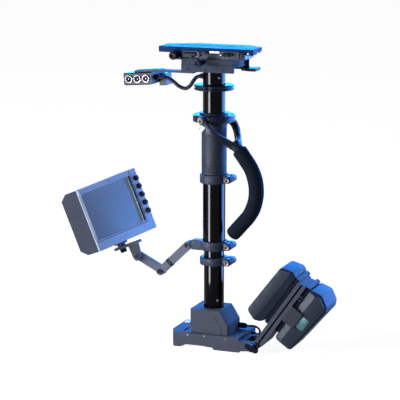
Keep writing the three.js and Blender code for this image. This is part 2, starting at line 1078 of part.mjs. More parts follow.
function makeStageBase() {
  const low = level.stage;
  const high = low + stage.baseHeight;
  const d = stage.halfDepth;
  const inner = d - stage.legThickness;
  const profile = [
    [-d, low],
    [-inner, low],
    [-inner, high - stage.slab],
    [inner, high - stage.slab],
    [inner, low],
    [d, low],
    [d, high],
    [-d, high],
  ];
  const channel = prismAlongX(profile, -stage.halfLength, stage.halfLength);
  const hub = ring(
    post.upperRadius + seat,
    post.upperRadius + seat + stage.hubWall,
    high - stage.slab - stage.hubHeight,
    high - stage.slab,
  );
  const holes = [-1, 0, 1].map((i) =>
    rod(
      "y",
      stage.holeRadius,
      -d - overrun,
      -d + stage.holeDepth,
      smallSides,
      stage.holeShift + i * stage.holeStep,
      low + stage.holeRise,
    ),
  );
  return cut(join(channel, hub), ...holes);
}

function makeStageBody() {
  const low = level.stage + stage.baseHeight + seat;
  const d = stage.halfDepth;
  const way = stage.wayWidth / 2;
  const profile = [
    [-stage.halfLength, low],
    [stage.halfLength, low],
    [stage.halfLength, stageTop],
    [way, stageTop],
    [way, stageTop - stage.wayDepth],
    [-way, stageTop - stage.wayDepth],
    [-way, stageTop],
    [-stage.halfLength, stageTop],
  ];
  const body = prismAlongY(profile, -d, d, chamfer);
  const hole = rod(
    "y",
    sideKnob.shaftRadius + running,
    -d - overrun,
    0,
    mediumSides,
    stage.knobX,
    level.stage + stage.knobRise,
  );
  return cut(body, hole);
}

function makeCarriage() {
  const low = stageTop + seat;
  const high = low + carriage.thickness;
  const d = carriage.halfDepth;
  const { left, right, backCut } = carriage;
  const slabOutline = [
    [-left, -d], [right, -d], [right, d - backCut], [right - backCut, d], [-left + backCut, d],
    [-left, d - backCut],
  ];
  const slab = prism(slabOutline, low, high);
  const key = box(
    -carriage.keyWidth / 2,
    carriage.keyWidth / 2,
    -d,
    d,
    stageTop - stage.wayDepth + seat,
    low + chamfer,
  );
  const lug = box(
    -carriage.left,
    -carriage.left + carriage.lugWidth,
    -stage.halfDepth,
    -stage.halfDepth + carriage.lugWidth,
    high - carriage.lugDrop,
    high,
  );
  const runner = box(
    -carriage.left,
    carriage.right,
    -carriage.railWidth / 2,
    carriage.railWidth / 2,
    high - chamfer,
    high + carriage.railRise,
  );
  const knobHole = rod(
    "y",
    foreAftKnob.shaftRadius + running,
    -stage.halfDepth - overrun,
    -stage.halfDepth + carriage.lugWidth / 2,
    mediumSides,
    -carriage.left + carriage.lugWidth / 2,
    high - foreAftKnob.drop,
  );
  return cut(join(slab, key, lug, runner), knobHole);
}

function makePlate() {
  const low = plateBottom;
  const high = low + plate.thickness;
  const { left, right } = plate;
  const y = plate.front;
  const middleY = (plate.back - plate.front) / 2;
  const outline = [
    [-left, -y + plate.cornerCut],
    [-left + plate.cornerCut, -y],
    [right - plate.cornerCut, -y],
    [right, -y + plate.cornerCut],
    [right, -y + plate.rightEnd],
    [right - plate.rightTaper, plate.back],
    [-left + plate.leftTaper, plate.back],
    [-left, -y + plate.leftEnd],
  ];
  const body = prism(outline, low, high, chamfer);
  const channel = box(
    -left - overrun,
    right + overrun,
    -carriage.railWidth / 2 - running,
    carriage.railWidth / 2 + running,
    low - overrun,
    low + plate.grooveDepth,
  );
  const recess = box(
    plate.recessLeft,
    plate.recessEnd,
    -y - overrun,
    -y + plate.recessDepth,
    low - overrun,
    low + plate.recessHeight,
  );
  const holes = [];
  for (let i = 0; i < plate.holeColumns; i++) {
    for (let j = 0; j < plate.holeRows; j++) {
      const hx = (right - left) / 2 + (i - (plate.holeColumns - 1) / 2) * plate.holeStepX;
      const hy = middleY + (j - (plate.holeRows - 1) / 2) * plate.holeStepY;
      const inBackRow = i >= plate.backFirst && i <= plate.backLast;
      if (j < (plate.holeRows - 1) / 2 || (j > (plate.holeRows - 1) / 2 && inBackRow)) {
        holes.push(
          rod("z", plate.holeRadius, high - plate.holeDepth, high + overrun, holeSides, hx, hy),
        );
      }
    }
  }
  const slot = box(
    -plate.slotLeft,
    plate.slotRight,
    middleY - plate.slotWidth / 2,
    middleY + plate.slotWidth / 2,
    high - plate.holeDepth,
    high + overrun,
  );
  return cut(body, channel, recess, slot, ...holes);
}

// The spirit level is a small white vial housing in the plate's front recess
function makeSpiritLevel() {
  const low = plateBottom + vial.rise;
  const middle = (plate.recessLeft + plate.recessEnd) / 2;
  const back = -plate.front + plate.recessDepth - seat;
  const half = vial.width / 2;
  return box(middle - half, middle + half, back - vial.depth, back, low, low + vial.height);
}

function makeSideKnob() {
  const x = stage.knobX;
  const z = level.stage + stage.knobRise;
  const face = -stage.halfDepth;
  const neck = face - sideKnob.shaftLength;
  const shaft = rod("y", sideKnob.shaftRadius, neck - seat, face + overrun, mediumSides, x, z);
  const half = sideKnob.headLength / 2;
  const head = sideKnob.headRadius;
  const waist = head - sideKnob.waist;
  const rear = rod("y", waist, neck - half, neck, sideKnob.sides, x, z, head);
  const front = rod("y", head, neck - 2 * half, neck - half, sideKnob.sides, x, z, waist);
  return join(shaft, rear, front);
}

function makeForeAftKnob() {
  const x = -carriage.left + carriage.lugWidth / 2;
  const z = stageTop + seat + carriage.thickness - foreAftKnob.drop;
  const face = -stage.halfDepth - seat;
  const neck = face - foreAftKnob.shaftLength;
  const tip = neck - foreAftKnob.headLength;
  const shaft = rod("y", foreAftKnob.shaftRadius, neck - seat, face + overrun, mediumSides, x, z);
  const head = rod("y", foreAftKnob.headRadius, tip, neck, mediumSides, x, z);
  const cup = rod("y", foreAftKnob.cup, tip - overrun, tip + foreAftKnob.cupDepth, hexSides, x, z);
  return cut(join(shaft, head), cup);
}

function makeLever() {
  const top = stageTop;
  const low = top - lever.shaftLength;
  const x = stage.halfLength + lever.out;
  const shaft = rod("z", lever.shaftRadius, low, top, mediumSides, x);
  const outline = [
    ...arc(0, 0, lever.paddleHalfWidth, Math.PI / 2, (3 * Math.PI) / 2),
    [lever.tipRun, -lever.tipHalfWidth],
    [lever.paddleFront, -lever.tipHalfWidth + chamfer],
    [lever.paddleFront, lever.tipHalfWidth - chamfer],
    [lever.tipRun, lever.tipHalfWidth],
  ];
  const paddle = prism(outline, low - lever.paddleThickness, low + chamfer, chamfer);
  paddle.translate(x, 0, 0);
  return join(shaft, paddle);
}

root.add(
  part("stage_base", makeStageBase(), "charcoal"),
  part("stage_body", makeStageBody(), "charcoal"),
  part("stage_carriage", makeCarriage(), "black"),
  part("camera_plate", makePlate(), "blue"),
  part("side_knob", makeSideKnob(), "plastic"),
  part("fore_aft_knob", makeForeAftKnob(), "plastic"),
  part("lock_lever", makeLever(), "plastic"),
  part("spirit_level", makeSpiritLevel(), "white"),
);

// Video box: it hangs left of the stage on a flat bar and feeds the post by a short lead

const boxTop = level.stage - seat - boxArm.thickness;

function makeBoxArm() {
  const bendX = -boxArm.bend;
  const t = boxArm.thickness;
  const low = level.stage - seat - t;
  const tailX = bendX - boxArm.tail * Math.cos(boxArm.roll);
  const tailZ = low + boxArm.tail * Math.sin(boxArm.roll);
  const profile = [
    [-boxArm.inner, low],
    [bendX, low],
    [tailX, tailZ],
    [tailX, tailZ + t],
    [bendX, low + t],
    [-boxArm.inner, low + t],
  ];
  const front = -stage.halfDepth * boxArm.frontShare;
  return prismAlongY([...profile].reverse(), front, front + boxArm.width);
}

const videoGroup = new THREE.Group();
videoGroup.position.set(-boxArm.bend, videoBox.inset - stage.halfDepth, boxTop - seat);
videoGroup.rotation.y = boxArm.roll;

function makeVideoBox() {
  const right = -videoBox.gap;
  const left = right - videoBox.width;
  const plan = [
    [left, 0],
    [right, 0],
    [right, videoBox.depth],
    [left + 2 * videoBox.taper, videoBox.depth],
    [left + videoBox.taper, videoBox.depth - videoBox.taper],
  ];
  const body = prism(plan, -videoBox.height, 0, videoBox.bevel);
  const boss = box(
    right - videoBox.bevel,
    right + videoBox.bossOut,
    videoBox.bossFrom,
    videoBox.depth,
    -videoBox.height - videoBox.bossBelow,
    -videoBox.bossDrop,
  );
  const middle = right - videoBox.width / 2;
  const reach = videoBox.connectorStep + 2 * videoBox.pinRadius;
  const pocket = box(
    middle - reach,
    middle + reach,
    videoBox.frontWall,
    videoBox.frontWall + videoBox.strip + 2 * seat,
    -videoBox.height - overrun,
    -videoBox.height / 2 + 2 * videoBox.pinRadius,
  );
  const holes = [-1, 0, 1].map((i) =>
    rod(
      "y",
      videoBox.pinRadius + seat,
      -overrun,
      videoBox.frontWall + seat,
      smallSides,
      middle + i * videoBox.connectorStep,
      -videoBox.height / 2,
    ),
  );
  return cut(join(body, boss), pocket, ...holes);
}

function makeVideoConnector(index) {
  const right = -videoBox.gap;
  const x = right - videoBox.width / 2 + (index - 1) * videoBox.connectorStep;
  const z = -videoBox.height / 2;
  const { connectorRadius, connectorLength, barrelRadius, barrelLength, pinRadius } = videoBox;
  const collarFace = -seat - connectorLength;
  const base = rod("y", connectorRadius, collarFace, -seat, mediumSides, x, z);
  const barrel = rod("y", barrelRadius, collarFace - barrelLength, collarFace, mediumSides, x, z);
  const mouth = rod(
    "y",
    barrelRadius - pinRadius / 2,
    collarFace - barrelLength - overrun,
    collarFace + seat,
    mediumSides,
    x,
    z,
  );
  const pinEnd = collarFace + 2 * seat;
  const pin = rod("y", pinRadius, collarFace - barrelLength / 2, pinEnd, smallSides, x, z);
  const stripBack = videoBox.frontWall + seat + videoBox.strip;
  const shank = rod("y", pinRadius, -2 * seat, stripBack, smallSides, x, z);
  return join(cut(join(base, barrel), mouth), pin, shank);
}

// The connectors' shanks pass through the box's front wall and hold one strip behind it
function makeVideoConnectors() {
  const right = -videoBox.gap;
  const middle = right - videoBox.width / 2;
  const reach = videoBox.connectorStep + videoBox.pinRadius + chamfer;
  const half = videoBox.pinRadius + chamfer;
  const near = videoBox.frontWall + seat;
  const strip = box(
    middle - reach,
    middle + reach,
    near,
    near + videoBox.strip,
    -videoBox.height / 2 - half,
    -videoBox.height / 2 + half,
  );
  return join(strip, ...[0, 1, 2].map(makeVideoConnector));
}

videoGroup.add(
  part("connector_box", makeVideoBox(), "charcoal"),
  part("video_connectors", makeVideoConnectors(), "steel"),
);
root.add(part("box_arm", makeBoxArm(), "charcoal"), videoGroup);

videoGroup.updateMatrixWorld();
const boxGland = new THREE.Vector3(
  seat - videoBox.gap,
  videoBox.glandBack,
  -videoBox.glandDrop,
).applyMatrix4(videoGroup.matrixWorld);
const postGland = new THREE.Vector3(-post.upperRadius - seat, 0, level.stage - cable.postDrop);

// The lead's route between the two glands, chosen by hand: x, y and the drop below the stage
const leadRoute = [
  [-115, -17.5, 19],
  [-104, -14.5, 20.5],
  [-92, -11.5, 28.5],
  [-80, -8.5, 38.5],
  [-66, -5.5, 43],
  [-55.5, -4, 36.5],
  [-48.5, -2.5, 25.5],
  [-41, -1, 17],
];

function makeStageCable() {
  const { glandRadius, glandLength } = cable;
  const start = boxGland.clone();
  start.x += glandLength - seat;
  const end = postGland.clone();
  end.x -= glandLength - seat;
  const atBox = rod("x", glandRadius, 0, glandLength, mediumSides);
  atBox.rotateY(boxArm.roll);
  atBox.translate(boxGland.x, boxGland.y, boxGland.z);
  const atPost = rod("x", glandRadius, -glandLength, post.upperRadius / 2, mediumSides);
  atPost.translate(postGland.x, postGland.y, postGland.z);
  const tube = rod("z", post.upperRadius + seat, -glandRadius * 2, glandRadius * 2, fineSides);
  tube.translate(0, 0, postGland.z);
  const points = leadRoute.map(([x, y, drop]) => new THREE.Vector3(x, y, level.stage - drop));
  const curve = new THREE.CatmullRomCurve3([start, ...points, end]);
  const lead = tubeAlong(curve, cable.radius, cable.sides, cable.steps);
  return join(lead, atBox, cut(atPost, tube));
}

root.add(part("stage_cable", makeStageCable(), "rubber"));

// Gimbal: sleeve and bearing on the post, then housing, ring and yoke on crossed pins

const bearingOuter = post.upperRadius + seat + gimbal.bearingWall;
const housingInner = bearingOuter + running;
const housingOuter = housingInner + gimbal.housingWall;
const ringInner = housingOuter + gimbal.ringGap;
const ringOuter = ringInner + gimbal.ringWall;
const yokeInner = ringOuter + yoke.gap;
const yokeOuter = yokeInner + yoke.bossThickness;

function makeSleeve() {
  const inner = post.upperRadius + seat;
  const outer = inner + gimbal.sleeveWall;
  const low = level.upperCollar + collar.height / 2 + seat;
  const high = level.gimbal - gimbal.bearingHeight / 2 - seat;
  const { sleeveFlare, sleeveGroove, grooveWidth, grooveStep, grooveCount } = gimbal;
  const profile = [[inner, low], [outer, low]];
  for (let i = 0; i < grooveCount; i++) {
    const z = low + (i + 1) * grooveStep;
    profile.push([outer, z], [outer - sleeveGroove, z + seat]);
    profile.push([outer - sleeveGroove, z + grooveWidth - seat], [outer, z + grooveWidth]);
  }
  profile.push([outer, high - 4 * sleeveFlare]);
  profile.push([outer + sleeveFlare, high - 2 * sleeveFlare]);
  profile.push([outer + sleeveFlare, high], [inner, high]);
  return turned(profile);
}

function makeHousing() {
  const half = gimbal.height / 2;
  const body = ring(housingInner, housingOuter, -half, half, chamfer);
  const screws = [];
  for (let i = 0; i < gimbal.capScrews; i++) {
    const a = ((i + 1 / 2) * 2 * Math.PI) / gimbal.capScrews;
    const r = (housingInner + housingOuter) / 2;
    const place = [holeSides, r * Math.cos(a), r * Math.sin(a)];
    screws.push(rod("z", gimbal.capScrewRadius, half - gimbal.capScrewDepth, half + overrun, ...place));
  }
  const trunnion = rod(
    "x",
    gimbal.pinRadius + running,
    housingOuter - gimbal.pinBite,
    housingOuter + overrun,
    smallSides,
  );
  const opposite = trunnion.clone().rotateZ(Math.PI);
  return cut(body, trunnion, opposite, ...screws);
}

// The ring carries two stub pins inward, into the housing, for its own tilt
function makeGimbalRing() {
  const half = gimbal.height / 2;
  const body = ring(ringInner, ringOuter, -half, half, chamfer);
  const reach = ringOuter + overrun;
  const boltHole = rod("y", gimbal.pinRadius + running, -reach, reach, smallSides);
  const inner = housingOuter - gimbal.pinBite + running;
  const stub = rod("x", gimbal.pinRadius, inner, ringOuter - chamfer, smallSides);
  return join(cut(body, boltHole), stub, stub.clone().rotateZ(Math.PI));
}

function makeYokeBolt(side) {
  const shank = rod("y", gimbal.pinRadius, ringInner + seat, yokeOuter + chamfer, smallSides);
  const headStart = yokeOuter + seat;
  const head = rod("y", gimbal.boltHeadRadius, headStart, headStart + gimbal.boltHead, mediumSides);
  const socket = rod(
    "y",
    gimbal.pinRadius,
    headStart + gimbal.boltHead / 2,
    headStart + gimbal.boltHead + overrun,
    hexSides,
  );
  const bolt = cut(join(shank, head), socket);
  return side > 0 ? bolt : bolt.rotateZ(Math.PI);
}

function makeYoke() {
  const middle = (yokeInner + yokeOuter) / 2;
  const up = new THREE.Vector3(1, 0, 1).normalize();
  const sides = [-1, 1].map((s) => {
    const boss = rod("y", yoke.bossRadius, yokeInner, yokeOuter, mediumSides);
    const line = yoke.pathShares.map(([out, across, down]) =>
      new THREE.Vector3(out * handle.startOut, s * middle * across, -down * handle.startDrop),
    );
    const widths = yoke.pathShares.map((shares) => shares[shares.length - 1]);
    const limb = bentBar(line, yoke.armWidth / 2, yoke.armHeight / 2, up, widths);
    return join(s > 0 ? boss : boss.rotateZ(Math.PI), limb);
  });
  const neck = rod("x", yoke.neckRadius, -yoke.neckLength, yoke.neckLength / 2, mediumSides);
  neck.rotateY(handle.slope);
  neck.translate(handle.startOut, 0, -handle.startDrop);
  const hole = rod(
    "y",
    gimbal.pinRadius + running,
    -yokeOuter - overrun,
    yokeOuter + overrun,
    smallSides,
  );
  return cut(join(...sides, neck), hole);
}

// The handle's centre line: straight, a round bend, then straight again
function handleLine(offset, length) {
  const { slope, topLength, bendRadius, bendAngle } = handle;
  const start = new THREE.Vector3(handle.startOut, 0, -handle.startDrop);
  const aim = (angle) => new THREE.Vector3(Math.cos(angle), 0, -Math.sin(angle));
  const inward = (angle) => new THREE.Vector3(-Math.sin(angle), 0, -Math.cos(angle));
  const bendLength = bendRadius * bendAngle;
  const bendStart = start.clone().addScaledVector(aim(slope), topLength);
  const centre = bendStart.clone().addScaledVector(inward(slope), bendRadius);
  const pointAt = (distance) => {
    if (distance < topLength) {
      return start.clone().addScaledVector(aim(slope), distance);
    }
    const turn = Math.min((distance - topLength) / bendRadius, bendAngle);
    const onBend = centre.clone().addScaledVector(inward(slope + turn), -bendRadius);
    const rest = Math.max(distance - topLength - bendLength, 0);
    return onBend.addScaledVector(aim(slope + turn), rest);
  };
  const curve = new THREE.Curve();
  curve.getPoint = (t) => pointAt(offset + t * (length - offset));
  return curve;
}

const gripLength = handle.topLength + handle.bendRadius * handle.bendAngle + handle.lowerLength;
const stemStart = yoke.neckLength / 2 + seat;
const gripStart = stemStart + handle.collarLength;

const gimbalGroup = new THREE.Group();
gimbalGroup.position.z = level.gimbal;
gimbalGroup.rotation.z = gimbal.turn;
gimbalGroup.add(
  part(
    "gimbal_bearing",
    ring(
      post.upperRadius + seat,
      bearingOuter,
      -gimbal.bearingHeight / 2,
      gimbal.bearingHeight / 2,
      chamfer,
    ),
    "black",
  ),
  part("bearing_housing", makeHousing(), "black"),
  part("gimbal_ring", makeGimbalRing(), "black"),
  part("yoke_bolt_front", makeYokeBolt(-1), "steel"),
  part("yoke_bolt_back", makeYokeBolt(1), "steel"),
  part("yoke", makeYoke(), "black"),
  part(
    "handle_stem",
    tubeAlong(handleLine(stemStart, gripLength), handle.stemRadius, handle.sides, handle.steps),
    "grey",
  ),
  part(
    "handle_grip",
    tubeAlong(
      handleLine(gripStart, gripLength),
      handle.gripRadius,
      handle.sides,
      handle.steps,
      handle.stemRadius + 2 * seat,
    ),
    "foam",
  ),
);
root.add(part("gimbal_sleeve", makeSleeve(), "grey"), gimbalGroup);

// Monitor arm: bracket on the middle collar, two links, and the monitor's stand

function makeBracket() {
  const low = level.middleCollar - bracket.below;
  const high = level.middleCollar + bracket.above;
  const blockPart = box(
    -bracket.outer,
    -bracket.inner,
    -bracket.halfDepth,
    bracket.halfDepth,
    low,
    high,
  );
  const core = (post.upperRadius + collar.radius) / 2;
  const clear = rod("z", core, low - overrun, high + overrun, fineSides);
  const tongue = prismAlongY(
    [
      ...arc(arm.pivotX, arm.pivotZ, arm.radius, Math.PI / 2, (3 * Math.PI) / 2),
      [-bracket.outer + arm.radius / 2, arm.pivotZ - arm.radius],
      [-bracket.outer + arm.radius / 2, arm.pivotZ + arm.radius],
    ],
    seat,
    seat + arm.thickness,
  );
  const sweep = rod("y", arm.radius + running, -bracket.halfDepth - overrun, 0, mediumSides);
  sweep.translate(arm.pivotX, 0, arm.pivotZ);
  const hole = rod(
    "y",
    arm.boltRadius + running,
    -overrun,
    arm.thickness + overrun,
    smallSides,
    arm.pivotX,
    arm.pivotZ,
  );
  return cut(join(cut(blockPart, clear), tongue), sweep, hole);
}

// The lowest collar of the upper tube, cast in one piece with the arm's bracket
function makeMiddleCollar() {
  const bore = post.upperRadius + seat;
  const band = makeCollar(level.middleCollar, collar.height, bore);
  return join(band, makeBracket());
}

// A shoulder bolt along Y through the two plates of a pivot, with its nut behind
function makeArmBolt(x, z) {
  const front = -arm.thickness - seat;
  const back = seat + arm.thickness + seat;
  const head = rod("y", arm.headRadius, front - arm.headThickness, front, mediumSides, x, z);
  const shank = rod("y", arm.boltRadius, front - seat, back + seat, smallSides, x, z);
  const nut = rod("y", arm.headRadius, back, back + arm.nutThickness, hexSides, x, z);
  const socket = rod(
    "y",
    arm.socketRadius,
    front - arm.headThickness - overrun,
    front - arm.headThickness / 2,
    hexSides,
    x,
    z,
  );
  return cut(join(head, shank, nut), socket);
}

function pivotHole(x, z) {
  return rod(
    "y",
    arm.boltRadius + running,
    -arm.thickness - overrun,
    arm.thickness + overrun,
    smallSides,
    x,
    z,
  );
}

const elbow = {
  x: arm.pivotX + arm.upperLength * Math.cos(arm.upperAngle),
  z: arm.pivotZ + arm.upperLength * Math.sin(arm.upperAngle),
};
const wrist = {
  x: elbow.x + arm.lowerLength * Math.cos(arm.lowerAngle),
  z: elbow.z + arm.lowerLength * Math.sin(arm.lowerAngle),
};

// Both upper link halves are drawn along +X from the shoulder pivot
function makeUpperLink() {
  const outline = [
    ...arc(0, 0, arm.radius, Math.PI / 2, (3 * Math.PI) / 2),
    [arm.bandStart, -arm.radius],
    [arm.bandStart, arm.radius],
  ];
  const body = prismAlongY(outline, -arm.thickness, 0);
  const middle = -arm.thickness / 2;
  const socket = rod(
    "x",
    arm.bandRadius - arm.bandInset + running,
    arm.bandStart - arm.radius,
    arm.bandStart + overrun,
    smallSides,
    middle,
  );
  return cut(body, pivotHole(0, 0), socket);
}

function makeLinkEnd() {
  const bandEnd = arm.bandStart + seat + arm.bandLength;
  const outline = [
    [bandEnd, arm.radius],
    [bandEnd, -arm.radius],
    ...arc(arm.upperLength, 0, arm.radius, -Math.PI / 2, Math.PI / 2),
  ];
  const body = prismAlongY(outline, -arm.thickness, 0);
  const middle = -arm.thickness / 2;
  const spigot = rod(
    "x",
    arm.bandRadius - arm.bandInset,
    arm.bandStart - arm.radius + seat,
    bandEnd + seat,
    smallSides,
    middle,
  );
  const band = box(
    arm.bandStart + seat,
    bandEnd + seat,
    -arm.thickness + arm.bandInset,
    -arm.bandInset,
    -arm.radius + arm.bandInset,
    arm.radius - arm.bandInset,
  );
  return cut(join(body, spigot, band), pivotHole(arm.upperLength, 0));
}

function makeLowerLink() {
  const body = prismAlongY(linkOutline(arm.lowerLength, arm.radius), seat, seat + arm.thickness);
  return cut(body, pivotHole(0, 0), pivotHole(arm.lowerLength, 0));
}

function linkGroup(x, z, angle) {
  const group = new THREE.Group();
  group.position.set(x, 0, z);
  group.rotation.y = -angle;
  return group;
}

const upperLinkGroup = linkGroup(arm.pivotX, arm.pivotZ, arm.upperAngle);
upperLinkGroup.add(
  part("upper_link", makeUpperLink(), "grey"),
  part("link_end", makeLinkEnd(), "grey"),
);
const lowerLinkGroup = linkGroup(elbow.x, elbow.z, arm.lowerAngle);
lowerLinkGroup.add(part("lower_link", makeLowerLink(), "grey"));

// The monitor's stand plate, drawn along its own slope with the stud's axis at the origin
const standGroup = new THREE.Group();
standGroup.position.set(wrist.x - shoe.reach, -shoe.forward, wrist.z + shoe.rise);
standGroup.rotation.y = -shoe.tilt;

function makeMonitorYoke() {
  const top = -shoe.plateDrop;
  const low = top - shoe.plateThickness;
  const slab = box(
    shoe.plateStart,
    shoe.plateEnd,
    -shoe.plateHalfWidth,
    shoe.plateHalfWidth,
    low,
    top,
  );
  const px = shoe.reach * Math.cos(shoe.tilt) - shoe.rise * Math.sin(shoe.tilt);
  const pz = -shoe.reach * Math.sin(shoe.tilt) - shoe.rise * Math.cos(shoe.tilt);
  const cheek = prismAlongY(
    [
      [shoe.neckEnd, low + chamfer],
      [shoe.neckStart, low + chamfer],
      ...arc(px, pz, arm.radius, shoe.cheekFrom, shoe.cheekTo),
    ],
    -arm.thickness + shoe.forward,
    shoe.forward,
  );
  const screwHole = rod("z", shoe.screwRadius + running, low - overrun, top + overrun, smallSides);
  const boltHole = pivotHole(px, pz);
  boltHole.translate(0, shoe.forward, 0);
  return cut(join(slab, cheek), boltHole, screwHole);
}

function makeThumbscrew() {
  const low = -shoe.plateDrop - shoe.plateThickness - seat;
  const head = rod("z", shoe.screwHead, low - shoe.screwHeadLength, low, mediumSides);
  const flutes = [];
  for (let i = 0; i < shoe.screwFlutes; i++) {
    const a = (i * 2 * Math.PI) / shoe.screwFlutes;
    const place = [hexSides, shoe.screwHead * Math.cos(a), shoe.screwHead * Math.sin(a)];
    flutes.push(rod("z", chamfer, low - shoe.screwHeadLength - overrun, low + overrun, ...place));
  }
  const shank = rod("z", shoe.screwRadius, low - chamfer, -shoe.plateDrop + 2 * seat, smallSides);
  return join(cut(head, ...flutes), shank);
}

standGroup.add(
  part("monitor_yoke", makeMonitorYoke(), "grey"),
  part("shoe_thumbscrew", makeThumbscrew(), "plastic"),
);

// Monitor, drawn upright: X across the screen, -Y out of the screen, the stud at the origin
const monitorGroup = new THREE.Group();
monitorGroup.rotation.z = shoe.turn;
standGroup.add(monitorGroup);

const face = -monitor.frontDepth;
const windowLeft = -monitor.width / 2 + monitor.screenLeft;
const windowTop = monitor.height - monitor.screenTop;

function makeShoeFoot() {
  const low = -shoe.plateDrop + 3 * seat;
  const lock = rod("z", shoe.lockRadius, low, low + shoe.lockHeight, mediumSides);
  const half = shoe.footHalf;
  const foot = box(-half, half, -half, half, low + shoe.lockHeight - seat, -seat);
  return join(lock, foot);
}

function housingProfile(inset) {
  const back = face + monitor.depth - inset;
  const low = inset;
  const high = monitor.height - inset;
  return [
    [face + monitor.bezel + seat, low],
    [back - monitor.backRun, low],
    [back, low + monitor.backDrop],
    [back, high - monitor.backDrop],
    [back - monitor.backRun, high],
    [face + monitor.bezel + seat, high],
  ];
}

function makeMonitorHousing() {
  const half = monitor.width / 2;
  const outer = prismAlongX(housingProfile(0), -half, half);
  const inner = prismAlongX(housingProfile(monitor.wall), -half + monitor.wall, half - monitor.wall);
  inner.translate(0, -seat, 0);
  const mouth = box(
    -half + monitor.wall,
    half - monitor.wall,
    face,
    face + monitor.bezel + overrun,
    monitor.wall,
    monitor.height - monitor.wall,
  );
  const holes = [];
  for (const i of [0, 1]) {
    for (const j of [0, 1]) {
      const y = face + monitor.sideHoleDepth + i * monitor.sideHoleStepY;
      const z = monitor.height - monitor.sideHoleTop - j * monitor.sideHoleStepZ;
      holes.push(rod("x", monitor.sideHole, -half - overrun, -half + overrun, holeSides, y, z));
    }
  }
  return cut(outer, inner, mouth, ...holes);
}

function knobPlace(index) {
  return [
    monitor.width / 2 - monitor.knobX,
    monitor.height - monitor.knobTop - index * monitor.knobStep,
  ];
}

function keyX(index) {
  return -monitor.width / 2 + monitor.keyStart + index * monitor.keyStep;
}

function makeBezel() {
  const half = monitor.width / 2;
  const back = face + monitor.bezel;
  const outline = [[-half, 0], [half, 0], [half, monitor.height], [-half, monitor.height]];
  const slab = prismAlongY(outline, face, back, chamfer);
  const opening = box(
    windowLeft,
    windowLeft + monitor.screenWidth,
    face - overrun,
    back + overrun,
    windowTop - monitor.screenHeight,
    windowTop,
  );
  const holes = [];
  for (let i = 0; i < monitor.knobs; i++) {
    holes.push(
      rod("y", monitor.knobShaft + running, face - overrun, back + overrun, smallSides, ...knobPlace(i)),
    );
  }
  for (let i = 0; i < monitor.keys; i++) {
    const halfKey = monitor.keyWidth / 2 + running;
    const halfHigh = monitor.keyHeight / 2 + running;
    holes.push(
      box(
        keyX(i) - halfKey,
        keyX(i) + halfKey,
        face - overrun,
        back + overrun,
        monitor.keyUp - halfHigh,
        monitor.keyUp + halfHigh,
      ),
    );
  }
  return cut(slab, opening, ...holes);
}

function makeScreen() {
  const lap = monitor.screenLap;
  const back = face + monitor.bezel + seat;
  return box(
    windowLeft - lap,
    windowLeft + monitor.screenWidth + lap,
    back,
    back + monitor.screenThickness,
    windowTop - monitor.screenHeight - lap,
    windowTop + lap,
  );
}

function makeMonitorKnob(index) {
  const [x, z] = knobPlace(index);
  const start = face - seat;
  const tip = start - monitor.knobLength;
  const inner = monitor.knobRadius - monitor.knobCap;
  const skirt = rod("y", monitor.knobRadius, tip + monitor.knobCap, start, mediumSides, x, z);
  const cap = rod("y", inner, tip, tip + monitor.knobCap, mediumSides, x, z, monitor.knobRadius);
  const shaft = rod("y", monitor.knobShaft, start - seat, face + monitor.bezel, smallSides, x, z);
  return join(skirt, cap, shaft);
}

// The keys are one moulded strip: a thin sheet behind the bezel with a pad through each hole
function makeKeyStrip() {
  const back = face + monitor.bezel + seat;
  const halfKey = monitor.keyWidth / 2;
  const halfHigh = monitor.keyHeight / 2;
  const sheet = box(
    keyX(0) - halfKey - chamfer,
    keyX(monitor.keys - 1) + halfKey + chamfer,
    back,
    back + monitor.keyBack,
    monitor.keyUp - halfHigh - chamfer / 2,
    monitor.keyUp + halfHigh + chamfer,
  );
  const pads = [];
  for (let i = 0; i < monitor.keys; i++) {
    pads.push(
      box(
        keyX(i) - halfKey,
        keyX(i) + halfKey,
        face - monitor.keyRise,
        back + monitor.keyBack / 2,
        monitor.keyUp - halfHigh,
        monitor.keyUp + halfHigh,
      ),
    );
  }
  return join(sheet, ...pads);
}

monitorGroup.add(
  part("monitor_shoe", makeShoeFoot(), "black"),
  part("monitor_housing", makeMonitorHousing(), "charcoal"),
  part("monitor_bezel", makeBezel(), "bezel"),
  part("monitor_screen", makeScreen(), "screen"),
  part("key_strip", makeKeyStrip(), "rubber"),
);
for (let i = 0; i < monitor.knobs; i++) {
  monitorGroup.add(part(`monitor_knob_${i + 1}`, makeMonitorKnob(i), "plastic"));
}

root.add(
  part("middle_collar", makeMiddleCollar(), "black"),
  part("arm_bolt_shoulder", makeArmBolt(arm.pivotX, arm.pivotZ), "black"),
  part("arm_bolt_elbow", makeArmBolt(elbow.x, elbow.z), "black"),
  part("arm_bolt_wrist", makeArmBolt(wrist.x, wrist.z), "black"),
  upperLinkGroup,
  lowerLinkGroup,
  standGroup,
);

// Battery arm, drawn along +X from the hinge pin, with one battery above and one below the rail
const batteryGroup = new THREE.Group();
batteryGroup.position.set(hinge.x, 0, hinge.z);
batteryGroup.rotation.y = -rail.lift;

const railLow = rail.shift - rail.thickness / 2;
const railHigh = rail.shift + rail.thickness / 2;

